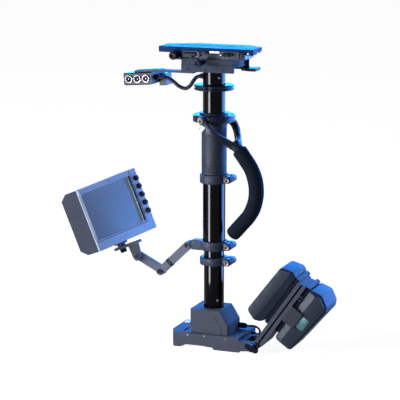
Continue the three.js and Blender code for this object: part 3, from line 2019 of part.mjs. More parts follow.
function makeRail() {
  const front = -packs.halfWidth;
  const deep = rail.grooveDepth;
  const gap = rail.grooveWidth / 2;
  const profile = [
    [front + rail.frontStep, railLow],
    [rail.back, railLow],
    [rail.back, rail.shift - gap],
    [rail.back - deep, rail.shift - gap],
    [rail.back - deep, rail.shift + gap],
    [rail.back, rail.shift + gap],
    [rail.back, railHigh],
    [front, railHigh],
    [front, rail.shift + gap],
    [front + deep, rail.shift + gap],
    [front + deep, rail.shift - gap],
    [front + rail.frontStep, rail.shift - gap],
  ];
  const bar = prismAlongX(profile, rail.start, rail.end);
  const lugFront = -tray.front + hinge.frontEar + running;
  const lugBack = lugFront + hinge.lugLength;
  const lugRadius = hinge.radius - seat;
  const lug = prismAlongY(
    [
      ...arc(0, 0, lugRadius, Math.PI / 2, (3 * Math.PI) / 2),
      [rail.start + chamfer, railLow],
      [rail.start + chamfer, railHigh],
    ],
    lugFront,
    lugBack,
  );
  const hole = rod(
    "y",
    hinge.pinRadius + running,
    lugFront - overrun,
    lugBack + overrun,
    mediumSides,
  );
  return cut(join(bar, lug), hole);
}

// One battery plate seen from the rail: side is 1 above the rail and -1 below
function makeBatteryPlate(side) {
  const near = side > 0 ? railHigh : railLow;
  const from = near - side * packs.plateBite;
  const to = near + side * packs.plateThickness;
  const half = packs.plateHalfWidth;
  return span(packs.plateStart, packs.plateEnd, -half, half, from, to);
}

function makeBattery(side, start, length, height, shares) {
  const near = (side > 0 ? railHigh : railLow) + side * (packs.plateThickness + seat);
  const outline = shares.map(([along, out]) => [
    start + along * length,
    near + side * out * height,
  ]);
  return prismAlongY(outline, -packs.halfWidth, packs.halfWidth, packs.bevel);
}

// A battery's release: a slide beside the battery, its stem reaching in to the plate's edge
function makeRelease(side) {
  const plateFace = (side > 0 ? railHigh : railLow) + side * packs.releaseRise;
  const far = plateFace + side * (packs.plateThickness + packs.releaseWidth);
  const stemTop = plateFace + side * (packs.plateThickness - 2 * packs.releaseRise);
  const inner = side * (packs.halfWidth + seat);
  const outer = inner + side * packs.releaseThickness;
  const edge = side * (packs.plateHalfWidth + seat);
  const start = packs.releaseStart;
  const end = start + packs.releaseLength;
  const stemStart = (start + end - packs.releaseStem) / 2;
  const stemEnd = stemStart + packs.releaseStem;
  return join(
    span(start, end, inner, outer, plateFace, far),
    span(stemStart, stemEnd, edge, outer, plateFace, stemTop),
  );
}

const upperBattery = makeBattery(
  1,
  packs.upperStart,
  packs.upperLength,
  packs.upperHeight,
  packs.upperShares,
);
const lowerBattery = makeBattery(
  -1,
  packs.lowerStart,
  packs.lowerLength,
  packs.lowerHeight,
  packs.lowerShares,
);

batteryGroup.add(
  part("battery_rail", join(makeRail(), makeBatteryPlate(1), makeBatteryPlate(-1)), "charcoal"),
  part("battery_upper", upperBattery, "plastic"),
  part("battery_lower", lowerBattery, "plastic"),
  part("battery_release_upper", makeRelease(1), "grey"),
  part("battery_release_lower", makeRelease(-1), "grey"),
);
root.add(batteryGroup);

export default root;
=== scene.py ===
# %% [markdown]
# # A hand-held camera stabilizer sled
#
# This lesson dresses a finished CAD model: a post with a camera stage on top, a gimbal with a foam
# handle, a folding arm with a monitor, and a base with two batteries. Size and place are already
# right, so the work is the fine surface: soft parts are made anew, round parts are turned with
# more steps, small fasteners are added, and every surface gets a finish with grain and wear.
#
# The model is loaded first, because every later piece rides on one of its bodies.

# %% Load the model
import json
import math

import bmesh
import bpy
import numpy as np
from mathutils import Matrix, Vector


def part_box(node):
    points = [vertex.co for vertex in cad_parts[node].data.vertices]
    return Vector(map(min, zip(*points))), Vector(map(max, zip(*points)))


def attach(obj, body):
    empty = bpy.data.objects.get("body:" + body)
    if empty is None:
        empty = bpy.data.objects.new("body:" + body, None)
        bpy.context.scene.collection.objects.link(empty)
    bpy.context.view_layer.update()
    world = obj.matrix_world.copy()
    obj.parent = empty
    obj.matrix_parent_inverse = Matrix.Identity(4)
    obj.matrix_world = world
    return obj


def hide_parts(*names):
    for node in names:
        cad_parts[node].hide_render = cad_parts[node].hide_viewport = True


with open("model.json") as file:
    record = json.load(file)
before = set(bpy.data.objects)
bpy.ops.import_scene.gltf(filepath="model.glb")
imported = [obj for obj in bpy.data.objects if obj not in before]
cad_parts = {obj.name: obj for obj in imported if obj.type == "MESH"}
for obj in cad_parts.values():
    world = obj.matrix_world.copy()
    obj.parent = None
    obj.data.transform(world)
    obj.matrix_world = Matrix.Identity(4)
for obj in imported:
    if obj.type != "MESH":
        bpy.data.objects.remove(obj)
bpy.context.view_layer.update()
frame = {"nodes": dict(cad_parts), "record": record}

NODES = frame["nodes"]
BODIES = frame["record"]["behaviour"]["bodies"]
BODY_OF = {node: body for body, nodes in BODIES.items() for node in nodes}
MM = 0.001
X, Y, Z = 0, 1, 2
UP, FRONT = (0, 0, 1), (0, -1, 0)

# %% [markdown]
# ## Camera
#
# The photograph is taken from the front, a little to the right and slightly from above. A camera
# is fixed by where it stands and how long its lens is. The post's upright lines converge very
# little, so the lens is long and the camera stands about four metres away.

# %% Set up the camera
AZIMUTH, ELEVATION = math.radians(21.3), math.radians(11.4)
DISTANCE = 3.9662
LENS, SENSOR_WIDTH, CLIP_END = 159.57, 36, 60
AIM_HEIGHT = 0.3345
AIM_SIDE = 14.1 / 1773  # pixels from the middle to the post, over the lens's length in pixels


def put(name, data):
    """A new object for a mesh, a camera or a lamp, linked into the scene."""
    made = bpy.data.objects.new(name, data)
    bpy.context.scene.collection.objects.link(made)
    return made


def look_along(item, direction):
    """Turns a camera or a lamp so that it looks along the direction, with Z upwards."""
    item.rotation_mode = "QUATERNION"
    item.rotation_quaternion = direction.to_track_quat("-Z", "Y")


rightward = Vector((math.cos(AZIMUTH), math.sin(AZIMUTH), 0))
inward = Vector((-rightward.y, rightward.x, 0))
forward = inward * math.cos(ELEVATION) - Vector((0, 0, math.sin(ELEVATION)))
camera = put("camera", bpy.data.cameras.new("camera"))
camera.data.lens = LENS
camera.data.sensor_width = SENSOR_WIDTH
camera.data.clip_end = CLIP_END
camera.location = Vector((0, 0, AIM_HEIGHT)) - (forward + rightward * AIM_SIDE) * DISTANCE
look_along(camera, forward)
bpy.context.scene.camera = camera
print("camera at", [round(c, 3) for c in camera.location])

# %% [markdown]
# ## Surfaces from arrays
#
# Almost every new piece is one of three surfaces: a profile turned round an axis, a round section
# swept along a path, or a loft that joins outlines of equal length. All three are a grid of
# points, with rows along one parameter and columns round the other, so one function turns a grid
# into a mesh. The points are worked out as whole arrays, which is quick and keeps each formula
# readable.

# %% Grid to mesh


def shaded(name, mesh, smooth_angle):
    """An object for the mesh, smooth except at edges sharper than the angle in degrees."""
    mesh.polygons.foreach_set("use_smooth", np.ones(len(mesh.polygons), bool))
    mesh.set_sharp_from_angle(angle=math.radians(smooth_angle))
    mesh.update()
    return put(name, mesh)


def grid_faces(rows, columns, wrap_rows):
    """Quads between neighbouring rows and columns of a grid whose columns close on themselves.
    Rows close as well, or else end in one face across the first row and one across the last."""
    r = np.arange(rows if wrap_rows else rows - 1)[:, None]
    c = np.arange(columns)
    here, below, beside = r * columns, (r + 1) % rows * columns, (c + 1) % columns
    quads = np.stack([here + c, here + beside, below + beside, below + c], axis=-1)
    faces = quads.reshape(-1, 4).tolist()
    if not wrap_rows:
        faces.append(list(range(columns))[::-1])
        faces.append(list(range((rows - 1) * columns, rows * columns)))
    return faces


def skin(name, grid, wrap_rows=False, smooth_angle=40):
    """A closed skin over a grid of points, rows x columns x 3, with doubles merged and normals
    pointing out."""
    mesh = bpy.data.meshes.new(name)
    faces = grid_faces(*grid.shape[:2], wrap_rows)
    mesh.from_pydata(grid.reshape(-1, 3).tolist(), [], faces)
    work = bmesh.new()
    work.from_mesh(mesh)
    bmesh.ops.remove_doubles(work, verts=work.verts, dist=1e-7)
    bmesh.ops.recalc_face_normals(work, faces=work.faces)
    work.to_mesh(mesh)
    work.free()
    return shaded(name, mesh, smooth_angle)


print("grid helpers ready")

# %% [markdown]
# A turned piece needs an axis and a profile of radius and height pairs. Where the profile starts
# and ends on the axis, its rows shrink to a point and are merged. The frame of the axis is any
# pair of directions square to it.

# %% Turned and swept surfaces


def axes_across(direction):
    """Two unit vectors square to a direction and to each other, and the direction's own."""
    d = np.asarray(direction, float) / np.linalg.norm(direction)
    helper = (0, 0, 1.0) if abs(d[2]) < 0.9 else (1.0, 0, 0)
    u = np.cross(helper, d)
    u /= np.linalg.norm(u)
    return u, np.cross(d, u), d


def turned_grid(profile, sides, centre, axis, flute=None):
    """Point = centre + axis * height + radius * (u cos t + v sin t), for each profile point and
    each angle t round the circle. The profile is in mm and the centre in metres. flute(t, height)
    may scale the radius."""
    p = np.asarray(profile, float)
    t = np.arange(sides) * 2 * np.pi / sides
    u, v, d = axes_across(axis)
    radius = p[:, :1] * (flute(t, p[:, 1:]) if flute else np.ones(sides))
    ring = radius[..., None] * (np.cos(t)[:, None] * u + np.sin(t)[:, None] * v)
    return np.asarray(centre, float) + (ring + p[:, 1][:, None, None] * d) * MM


def turned(name, profile, sides, centre=(0, 0, 0), axis=UP, flute=None):
    """A turned piece whose profile starts and ends on its axis, or closes on itself."""
    closed = profile[0][0] > 0 and profile[-1][0] > 0
    grid = turned_grid(profile, sides, centre, axis, flute)
    return skin(name, grid, wrap_rows=closed, smooth_angle=35)


def through(points, steps):
    """A smooth centripetal Catmull-Rom curve through the points. Each stretch between two points
    is a cubic blend whose knots are spaced by the square root of the distance."""
    p = np.asarray(points, float)
    p = np.vstack([2 * p[0] - p[1], p, 2 * p[-1] - p[-2]])
    knots = np.concatenate([[0], np.cumsum(np.linalg.norm(np.diff(p, axis=0), axis=1) ** 0.5)])
    s = np.linspace(knots[1], knots[-2], steps)
    i = np.clip(np.searchsorted(knots, s, side="right") - 1, 1, len(p) - 3)
    k = [knots[i + j][:, None] for j in (-1, 0, 1, 2)]
    q = [p[i + j] for j in (-1, 0, 1, 2)]
    x = s[:, None]
    blend = lambda a, b, ka, kb: ((kb - x) * a + (x - ka) * b) / (kb - ka)
    a = [blend(q[j], q[j + 1], k[j], k[j + 1]) for j in range(3)]
    b = [blend(a[j], a[j + 1], k[j], k[j + 2]) for j in range(2)]
    return blend(b[0], b[1], k[1], k[2])


def swept_grid(path, radius, sides):
    """A round section carried along a path: path + radius (side cos t + rise sin t). The side is
    square to the path and to Y, so the path must not run along Y, and the rise is square to both.
    The radius is one number or one for each point of the path."""
    ahead = np.gradient(path, axis=0)
    side = np.cross(ahead, (0.0, 1.0, 0.0))
    side /= np.linalg.norm(side, axis=1, keepdims=True)
    rise = np.cross(side, ahead / np.linalg.norm(ahead, axis=1, keepdims=True))
    t = (np.arange(sides) * 2 * np.pi / sides)[:, None]
    ring = np.cos(t) * side[:, None, :] + np.sin(t) * rise[:, None, :]
    return path[:, None, :] + np.reshape(radius, (-1, 1, 1)) * ring


def path_length(path):
    """Sum of the distances between neighbouring points."""
    return float(np.linalg.norm(np.diff(path, axis=0), axis=1).sum())


print("turned, swept and through are ready")

# %% [markdown]
# A loft starts from corners. They are rounded with arcs, and the outline is repeated at several
# levels and drawn in a little at some of them. So a list of inset and level pairs describes a
# whole edge: a chamfer, a step, a groove or a seam is only another pair.

# %% Rounded outlines and lofts


def rectangle(left, right, low, high):
    """The four corners of an upright rectangle."""
    return [(left, low), (right, low), (right, high), (left, high)]


def rounded_outline(corners, radius, steps=7):
    """A closed outline with an arc at each corner. Each arc touches both sides of its corner; its
    radius shrinks where a side is too short for it."""
    p = np.asarray(corners, float)
    before, after = np.roll(p, 1, axis=0) - p, np.roll(p, -1, axis=0) - p
    to_before, to_after = np.linalg.norm(before, axis=1), np.linalg.norm(after, axis=1)
    u, v = before / to_before[:, None], after / to_after[:, None]
    half = np.arccos(np.clip((u * v).sum(axis=1), -1, 1)) / 2
    reach = np.minimum(radius / np.tan(half), 0.47 * np.minimum(to_before, to_after))
    middle = (u + v) / np.linalg.norm(u + v, axis=1, keepdims=True)
    centre = p + middle * (reach / np.cos(half))[:, None]
    start = p + u * reach[:, None] - centre
    turn = np.sign(u[:, 0] * v[:, 1] - u[:, 1] * v[:, 0])
    angle = (-turn * (np.pi - 2 * half))[:, None] * np.linspace(0, 1, steps)
    x = start[:, :1] * np.cos(angle) - start[:, 1:] * np.sin(angle)
    y = start[:, :1] * np.sin(angle) + start[:, 1:] * np.cos(angle)
    return (centre[:, None, :] + np.stack([x, y], axis=-1)).reshape(-1, 2)


def drawn_in(outline, inset):
    """The outline moved inwards by the inset along its own normals."""
    along = np.roll(outline, -1, axis=0) - np.roll(outline, 1, axis=0)
    normal = np.stack([along[:, 1], -along[:, 0]], axis=-1)
    normal /= np.linalg.norm(normal, axis=1, keepdims=True)
    x, y = outline.T
    way_round = np.sign((x * np.roll(y, -1) - y * np.roll(x, -1)).sum())
    return outline - normal * way_round * inset


def shrunk(corners, inset):
    """A convex outline whose every side has moved in by the inset: each new corner is where two
    neighbouring moved sides cross."""
    p = np.asarray(corners, float)
    side = np.roll(p, -1, axis=0) - p
    side /= np.linalg.norm(side, axis=1, keepdims=True)
    normal = np.stack([side[:, 1], -side[:, 0]], axis=-1)
    normal *= np.sign(((p - p.mean(axis=0)) * normal).sum(axis=1))[:, None]
    reach = (p * normal).sum(axis=1) - inset
    before, before_reach = np.roll(normal, 1, axis=0), np.roll(reach, 1)
    det = before[:, 0] * normal[:, 1] - before[:, 1] * normal[:, 0]
    x = (before_reach * normal[:, 1] - reach * before[:, 1]) / det
    y = (before[:, 0] * reach - normal[:, 0] * before_reach) / det
    return np.stack([x, y], axis=-1)


def layers(outlines, levels, axis):
    """Flat outlines, each laid at its own level along the given axis."""
    rows = [np.insert(flat, axis, level, axis=1) for flat, level in zip(outlines, levels)]
    return np.stack(rows)


def lofted(name, outline, edge, place, axis=Y, smooth_angle=38):
    """The outline at each level of the edge list, drawn in by that row's inset; place turns local
    millimetres into metres in the model."""
    insets, levels = zip(*edge)
    grid = layers([drawn_in(outline, inset) for inset in insets], levels, axis)
    return skin(name, place(grid), smooth_angle=smooth_angle)


print("outlines and lofts ready")

# %% [markdown]
# ## Places on the sled
#
# Some parts lean, so their own measurements are taken in a frame that leans with them, and a small
# function turns local millimetres into metres in the model. The gimbal is turned round the post,
# the battery arm is lifted, the video box hangs a little low at its far end, and the monitor is
# swivelled on a sloping plate.

# %% Local frames


def spun(points, degrees, towards):
    """Turns points so that +X moves towards +Y or +Z by the angle."""
    p = np.array(points, float)
    a, b = p[..., X].copy(), p[..., towards].copy()
    c, s = math.cos(math.radians(degrees)), math.sin(math.radians(degrees))
    p[..., X], p[..., towards] = a * c - b * s, a * s + b * c
    return p


def local_frame(origin, *turns):
    """A function from local mm to metres: it makes the turns in order, then adds the origin."""

    def place(points):
        p = np.asarray(points, float)
        for degrees, towards in turns:
            p = spun(p, degrees, towards)
        return (p + origin) * MM

    return place


at_post = local_frame((0, 0, 0))
at_gimbal = local_frame((0, 0, 521), (-12, Y))
at_rail = local_frame((111, 0, 17), (55, Z))
at_box = local_frame((-128, -44, 621.9), (4.7, Z))
at_monitor = local_frame((-228, -5, 221), (65.3, Y), (22.5, Z))
print("the box's far corner is at", at_box((-72, 0, -28)).round(4).tolist())

# %% [markdown]
# ## Painting with arithmetic
#
# A material is a network of nodes, but most of it is plain arithmetic on masks and noises. A small
# class wraps one socket, so that Python can write it as an expression: `1 - mask * 0.4`. Colours
# go through Mix nodes instead, since a Math node would turn them grey. Every other node comes from
# one method, `Paint.node`.

# %% Sockets and paints


class Socket:
    """One output socket of a paint. Arithmetic on it adds Math nodes to the same paint."""

    def __init__(self, paint, link):
        self.paint = paint
        self.link = link

    def math(self, operation, a, b):
        return self.paint.node("Math", {0: a, 1: b}, operation=operation)

    __add__ = __radd__ = lambda self, other: self.math("ADD", self, other)
    __mul__ = __rmul__ = lambda self, other: self.math("MULTIPLY", self, other)
    __sub__ = lambda self, other: self.math("SUBTRACT", self, other)
    __rsub__ = lambda self, other: self.math("SUBTRACT", other, self)

    def clipped(self, low, high):
        """0 below low, 1 above high, straight between."""
        inputs = {"Value": self, "From Min": low, "From Max": high}
        return self.paint.node("MapRange", inputs, clamp=True)

    def mixed(self, a, b):
        """Colour a where this socket is 0 and colour b where it is 1."""
        return self.paint.node("Mix", {"Factor": self, 6: a, 7: b}, 2, data_type="RGBA")


def scaled(tint, factor, added=0.0):
    """A tint times a factor, with the same amount added to each channel."""
    return tuple(c * factor + added for c in tint)


class Paint:
    """A material in the making: its node tree, and one method that adds any node."""

    def __init__(self, name):
        self.material = bpy.data.materials.new(name)
        self.material.use_nodes = True
        self.tree = self.material.node_tree
        self.shader = self.tree.nodes["Principled BSDF"]

    def node(self, kind, inputs=None, output=0, **settings):
        """Adds a node of a kind, applies its settings first, then its values and links."""
        made = self.tree.nodes.new("ShaderNode" + kind)
        for key, value in settings.items():
            setattr(made, key, value)
        for key, value in (inputs or {}).items():
            self.feed(made.inputs[key], value)
        return Socket(self, made.outputs[output])

    def feed(self, socket, value):
        """Links a socket to another or sets its own value, a colour from its three numbers."""
        if isinstance(value, Socket):
            self.tree.links.new(value.link, socket)
        else:
            socket.default_value = (*value, 1.0) if socket.type == "RGBA" else value

    def place(self, stretch=(1, 1, 1), turn=(0, 0, 0)):
        """Object coordinates in metres, stretched and turned."""
        here = self.node("TexCoord", output="Object")
        return self.node("Mapping", {"Vector": here, "Scale": stretch, "Rotation": turn})

    def noise(self, scale, detail, stretch=(1, 1, 1), roughness=0.5):
        """Cloudy noise from 0 to 1 in object space, with that many clouds to the metre."""
        inputs = {"Scale": scale, "Detail": detail, "Roughness": roughness}
        return self.node("TexNoise", {"Vector": self.place(stretch), **inputs})

    def rounded(self, radius):
        """The surface normal as if every edge had that radius."""
        return self.node("Bevel", {"Radius": radius}, samples=4)

    def edge_wear_and_sheen(self, radius):
        """1 along sharp edges and 0 on flat faces: how far the rounded normal has turned away."""
        inputs = {0: self.rounded(radius), 1: self.node("NewGeometry", output="True Normal")}
        same = self.node("VectorMath", inputs, "Value", operation="DOT_PRODUCT")
        return (1 - same).clipped(0.01, 0.14)

    def bump(self, height, distance, edge_radius=None):
        """The normal of a relief of that height, in metres, over edges rounded by a radius."""
        inputs = {"Height": height, "Distance": distance, "Strength": 1.0}
        if edge_radius is not None:
            inputs["Normal"] = self.rounded(edge_radius)
        return self.node("Bump", inputs)

    def done(self, base, roughness, normal=None, level=0.5, metallic=0.0):
        """Feeds the shader: what varies as links, what is the same all over on its own socket."""
        fed = {"Base Color": base, "Roughness": roughness, "Metallic": metallic, "Normal": normal}
        for key, value in {**fed, "Specular IOR Level": level}.items():
            if value is not None:
                self.feed(self.shader.inputs[key], value)
        return self.material


print("paint helpers ready")

# %% [markdown]
# ## Metal finishes
#
# Most of the sled is aluminium, anodised black or coated charcoal. Anodised metal keeps the fine
# lines of its machining under a thin glossy skin and wears to a paler grey on its edges. Powder
# coat is rougher, with an orange-peel surface. Both are one recipe with other numbers: a fine
# grain lifted by a few hundredths of a millimetre, a slow cloud that changes the gloss, and a mask
# along the edges that paints them paler. That paler edge is wear, and on the yoke, where it is
# much paler, it is also a painted highlight.

# %% Black and charcoal metal
UPRIGHT_LINES = (1, 1, 0.2)


def metal_paint(
    name, tint, roughness, grain, lift, wear_and_sheen, level=0.5, stretch=(1, 1, 1), edge=0.035, metal=0.0
):
    """Base = tint, paler along the edges and in clouds; the paler edges are wear, and on the yoke
    a painted highlight as well; roughness swings by up to a seventh; the grain is noise with that
    many grains to the metre, lifted by so many metres."""
    paint = Paint(name)
    edges = paint.edge_wear_and_sheen(0.0007)
    clouds = paint.noise(26, 4)
    fine = paint.noise(grain, 2, stretch)
    body = clouds.mixed(scaled(tint, 0.86), scaled(tint, 1.14))
    # Paler edges: wear, with a painted highlight where the paleness is set high, as on the yoke.
    bare_and_sheen = edges * wear_and_sheen * clouds.clipped(0.3, 0.6)
    base = bare_and_sheen.mixed(body, scaled(tint, 2.2, edge))
    gloss = roughness * (0.86 + 0.28 * clouds) + 0.05 * fine
    return paint.done(base, gloss, paint.bump(fine, lift, 0.0005), level, metal)


anodised = metal_paint(
    "anodised_black", (0.005, 0.008, 0.022), 0.4, 2600, 1e-5, 0.6, 0.07, UPRIGHT_LINES
)
# The yoke's edges are painted far paler than the rest: a painted highlight along the arm's edges,
# on top of wear.
yoke_coat = metal_paint(
    "yoke_black", (0.006, 0.008, 0.022), 0.4, 2600, 1e-5, 0.8, 0.07, UPRIGHT_LINES, edge=0.14
)
collar_coat = metal_paint(
    "collar_satin", (0.048, 0.058, 0.105), 0.5, 2500, 1e-5, 0.5, 0.04, UPRIGHT_LINES
)
charcoal = metal_paint("charcoal_coat", (0.100, 0.116, 0.172), 0.7, 2100, 3e-5, 0.4, 0.04)
stage_coat = metal_paint(
    "stage_coat", (0.050, 0.070, 0.125), 0.6, 2300, 2e-5, 0.7, 0.03, (0.15, 1, 1)
)
sleeve_coat = metal_paint(
    "sleeve_coat", (0.034, 0.045, 0.075), 0.55, 2400, 2e-5, 0.4, 0.04, (1, 1, 0.1)
)
link_coat = metal_paint("link_grey", (0.178, 0.206, 0.300), 0.6, 2400, 2e-5, 0.9, 0.04)
case_coat = metal_paint("case_coat", (0.062, 0.074, 0.115), 0.66, 1500, 5e-5, 0.35, 0.03)
blue_plate = metal_paint(
    "blue_anodised", (0.0001, 0.032, 0.165), 0.5, 2600, 1e-5, 0.9, 0.02, (0.08, 1, 1)
)
steel = metal_paint(
    "bright_steel", (0.16, 0.16, 0.18), 0.38, 3000, 1e-5, 0.1, stretch=(1, 0.1, 1), metal=1.0
)
bolt_steel = metal_paint(
    "bolt_steel", (0.035, 0.032, 0.031), 0.5, 3000, 1e-5, 0.1, edge=0.01, metal=1.0
)
print("metal finishes:", [material.name for material in bpy.data.materials])

# %% [markdown]
# The post is polished and almost black, so nearly all that shows of it is what it reflects. Its
# gloss is weak but very smooth, and a long lamp draws one crisp line down it. Faint upright
# scuffs, where collars have slid along it, roughen it in thin streaks.

# %% Lacquered tube


def tube_paint():
    """Near-black and smooth; streaks are noise squeezed along Z by 60, kept to the crests."""
    paint = Paint("lacquered_black")
    streaks = paint.noise(420, 3, (1, 1, 0.016)).clipped(0.58, 0.8)
    clouds = paint.noise(14, 3)
    base = (streaks * 0.5).mixed((0.0006, 0.0009, 0.004), (0.004, 0.005, 0.012))
    return paint.done(base, 0.05 + 0.02 * clouds + 0.03 * streaks, level=0.06)


lacquer = tube_paint()
print("tube finish:", lacquer.name)

# %% [markdown]
# ## Soft, moulded and clear finishes
#
# The handle's sleeve is closed-cell foam: matte, nearly black with a blue cast, and full of tiny
# pores. Pores are a Voronoi pattern, where the distance to the nearest cell centre is small, and
# their colour is darker where they sink, which is painted shade. The leads are smooth rubber. The
# batteries and knobs are moulded plastic with a fine spark-eroded grain, polished a little where
# hands and clips rub the edges; their paler edges are that wear and, on the batteries, a painted
# highlight.

# %% Foam, rubber and moulded plastic


def foam_paint():
    """Pores: distance to the nearest Voronoi centre, sunk where it is small and painted darker
    there, which is painted shade; two sizes mixed.
    """
    paint = Paint("foam_sleeve")
    here = paint.place()
    big = paint.node("TexVoronoi", {"Vector": here, "Scale": 620.0}).clipped(0.1, 0.45)
    small = paint.node("TexVoronoi", {"Vector": here, "Scale": 1500.0}).clipped(0.1, 0.4)
    clouds = paint.noise(34, 4)
    height = 0.65 * big + 0.35 * small
    # The pores are darker in colour where they sink: painted shade.
    base = (height * 0.6 + clouds * 0.5).mixed((0.003, 0.005, 0.011), (0.011, 0.016, 0.034))
    return paint.done(base, 0.9 - 0.1 * clouds, paint.bump(height, 0.00016), 0.02)


def rubber_paint(name, tint, grain, lift, roughness):
    """Matte rubber: soft clouds of dust over the tint, and a fine grain."""
    paint = Paint(name)
    clouds = paint.noise(48, 4)
    base = clouds.clipped(0.35, 0.75).mixed(tint, scaled(tint, 1.7, 0.004))
    normal = paint.bump(paint.noise(grain, 2), lift, 0.0004)
    return paint.done(base, roughness + 0.1 * clouds, normal, 0.04)


def plastic_paint(name, tint, roughness, grain, lift, wear_and_sheen, level=0.5):
    """The grain is a noise of about half a millimetre; edges are polished, so smoother, and a bit
    paler, which is wear and, on the batteries, a painted highlight."""
    paint = Paint(name)
    edges = paint.edge_wear_and_sheen(0.0009)
    clouds = paint.noise(20, 4)
    fine = paint.noise(grain, 3, roughness=0.65)
    body = clouds.mixed(scaled(tint, 0.85), scaled(tint, 1.15))
    # Paler edges: polish wear, and on the batteries a painted highlight along the rims and ridges.
    pale = tuple(min(1, c) for c in scaled(tint, 1.8, 0.02))
    gloss = roughness + 0.1 * clouds - 0.12 * edges
    base = (edges * wear_and_sheen).mixed(body, pale)
    return paint.done(base, gloss, paint.bump(fine, lift, 0.0006), level)


foam = foam_paint()
cable_rubber = rubber_paint("cable_rubber", (0.008, 0.010, 0.02), 1800, 2e-5, 0.36)
grommet_rubber = rubber_paint("grommet_rubber", (0.014, 0.015, 0.02), 1500, 3e-5, 0.6)
(
    battery_plastic, panel_plastic, black_plastic_and_shade, release_plastic, white_plastic, key_plastic,
    dark_trim_and_shade, pad_grey,
) = (plastic_paint(*row) for row in (
    ("battery_case", (0.026, 0.038, 0.062), 0.55, 1300, 6e-5, 0.6, 0.03),
    # The panels' strong edge paleness paints the highlight line along each ridge.
    ("battery_panel", (0.030, 0.044, 0.070), 0.42, 1500, 5e-5, 0.9, 0.05),
    ("knob_black_and_shade", (0.004, 0.006, 0.013), 0.42, 1900, 3e-5, 0.4, 0.03),
    ("release_grey", (0.060, 0.070, 0.096), 0.6, 1400, 4e-5, 0.4, 0.04),
    ("white_plastic", (0.82, 0.84, 0.88), 0.34, 1600, 2e-5, 0.1),
    ("key_pads", (0.50, 0.62, 0.96), 0.5, 1700, 3e-5, 0.2),
    ("dark_trim_and_shade", (0.006, 0.010, 0.030), 0.5, 1700, 3e-5, 0.3, 0.02),
    ("pad_grey", (0.20, 0.21, 0.25), 0.45, 1500, 3e-5, 0.3),
))
print("soft and moulded finishes:", foam.name, cable_rubber.name, battery_plastic.name)

# %% [markdown]
# The monitor's face carries painted light. The bezel's pale blue, with a fine metallic flake,
# stands for the blue light that falls on the face, and both it and the screen are painted paler
# than they are, to make up for the little lamp light the face gets. The screen is grey under
# smooth glass, a little paler towards the head. Both read Object coordinates, so the pattern stays
# in place when the view moves.

# %% Bezel paint and screen glass
SCREEN_FOOT, SCREEN_HEAD = 0.25, 0.36


def bezel_paint():
    """Flake is a noise of a quarter of a millimetre; with slow clouds it moves the tone by about a
    tenth."""
    paint = Paint("bezel_blue_light")
    edges = paint.edge_wear_and_sheen(0.0006)
    flake = paint.noise(3600, 1)
    clouds = paint.noise(16, 3)
    # The pale blue is painted light: blue light on the face, lifted for the weak lamp light there.
    body = (0.6 * clouds + 0.4 * flake).mixed((0.58, 0.70, 0.98), (0.68, 0.80, 1.0))
    base = (edges * 0.6).mixed(body, (0.55, 0.68, 1.0))
    return paint.done(base, 0.5 + 0.1 * clouds, paint.bump(flake, 1e-5, 0.0005), 0.26)


def screen_paint():
    """Tone follows height over the floor, from the screen's foot to its head, with slow clouds."""
    paint = Paint("screen_glass")
    height = paint.node("SeparateXYZ", {0: paint.node("TexCoord", output="Object")}, "Z")
    clouds = paint.noise(9, 2)
    tone = 0.75 * height.clipped(SCREEN_FOOT, SCREEN_HEAD) + 0.25 * clouds
    # Both greys are painted paler than the screen is, for the weak lamp light on the face: painted
    # light.
    base = tone.mixed((0.360, 0.410, 0.450), (0.460, 0.510, 0.550))
    return paint.done(base, 0.3 + 0.1 * clouds, level=0.12)


bezel, screen_glass = bezel_paint(), screen_paint()
print("monitor finishes:", bezel.name, screen_glass.name)

# %% [markdown]
# ## Dressing the pieces
#
# A finished piece needs its finish, the body it rides on and, if it stands for a CAD node, that
# node's name. One function gives it all three. Flat machined nodes only get a finish, because the
# finish itself rounds their edges in the light.

# %% Assign finishes


def dress(piece, finish, node=None, on=None):
    """Gives the piece its finish. It replaces the CAD node, or only rides on the body that holds
    the node called on."""
    piece.data.materials.clear()
    piece.data.materials.append(finish)
    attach(piece, BODY_OF[on or node])
    if node:
        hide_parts(node)
    return piece


for finish, names in (
    (charcoal, "base_tray base_block hinge_block battery_rail box_arm"),
    (stage_coat, "stage_base stage_body"),
    (anodised, "stage_carriage monitor_shoe connector_box"),
    (case_coat, "monitor_housing"),
    (blue_plate, "camera_plate"),
    (bezel, "monitor_bezel"),
    (screen_glass, "monitor_screen"),
    (key_plastic, "key_strip"),
    (white_plastic, "power_switch spirit_level"),
    (black_plastic_and_shade, "lock_lever wing_knob"),
    (release_plastic, "battery_release_upper battery_release_lower"),
    (link_coat, "upper_link link_end lower_link monitor_yoke"),
):
    for name in names.split():
        for slot in NODES[name].material_slots:
            slot.material = finish
print("finishes on the flat nodes")

# %% [markdown]
# Round CAD parts have 18 or 32 flat sides, which the light would pick out one by one. A copy whose
# neighbouring sides share their corners can be shaded smooth, with only real edges kept sharp. It
# is the cheapest way to a round look where a part also has slits, ears and holes that a turned
# surface can't have.

# %% Smooth copies
MERGE_DISTANCE = 2e-6
FLAT_ANGLE = math.radians(0.5)


def smooth_copy(node, finish, smooth_angle):
    """A copy of a node with its loose corners merged, shaded smooth across shallow edges."""
    mesh = NODES[node].data.copy()
    mesh.name = node + "_smooth"
    work = bmesh.new()
    work.from_mesh(mesh)
    bmesh.ops.remove_doubles(work, verts=work.verts, dist=MERGE_DISTANCE)
    bmesh.ops.dissolve_limit(work, angle_limit=FLAT_ANGLE, verts=work.verts, edges=work.edges)
    bmesh.ops.triangulate(work, faces=work.faces)
    work.to_mesh(mesh)
    work.free()
    return dress(shaded(mesh.name, mesh, smooth_angle), finish, node)


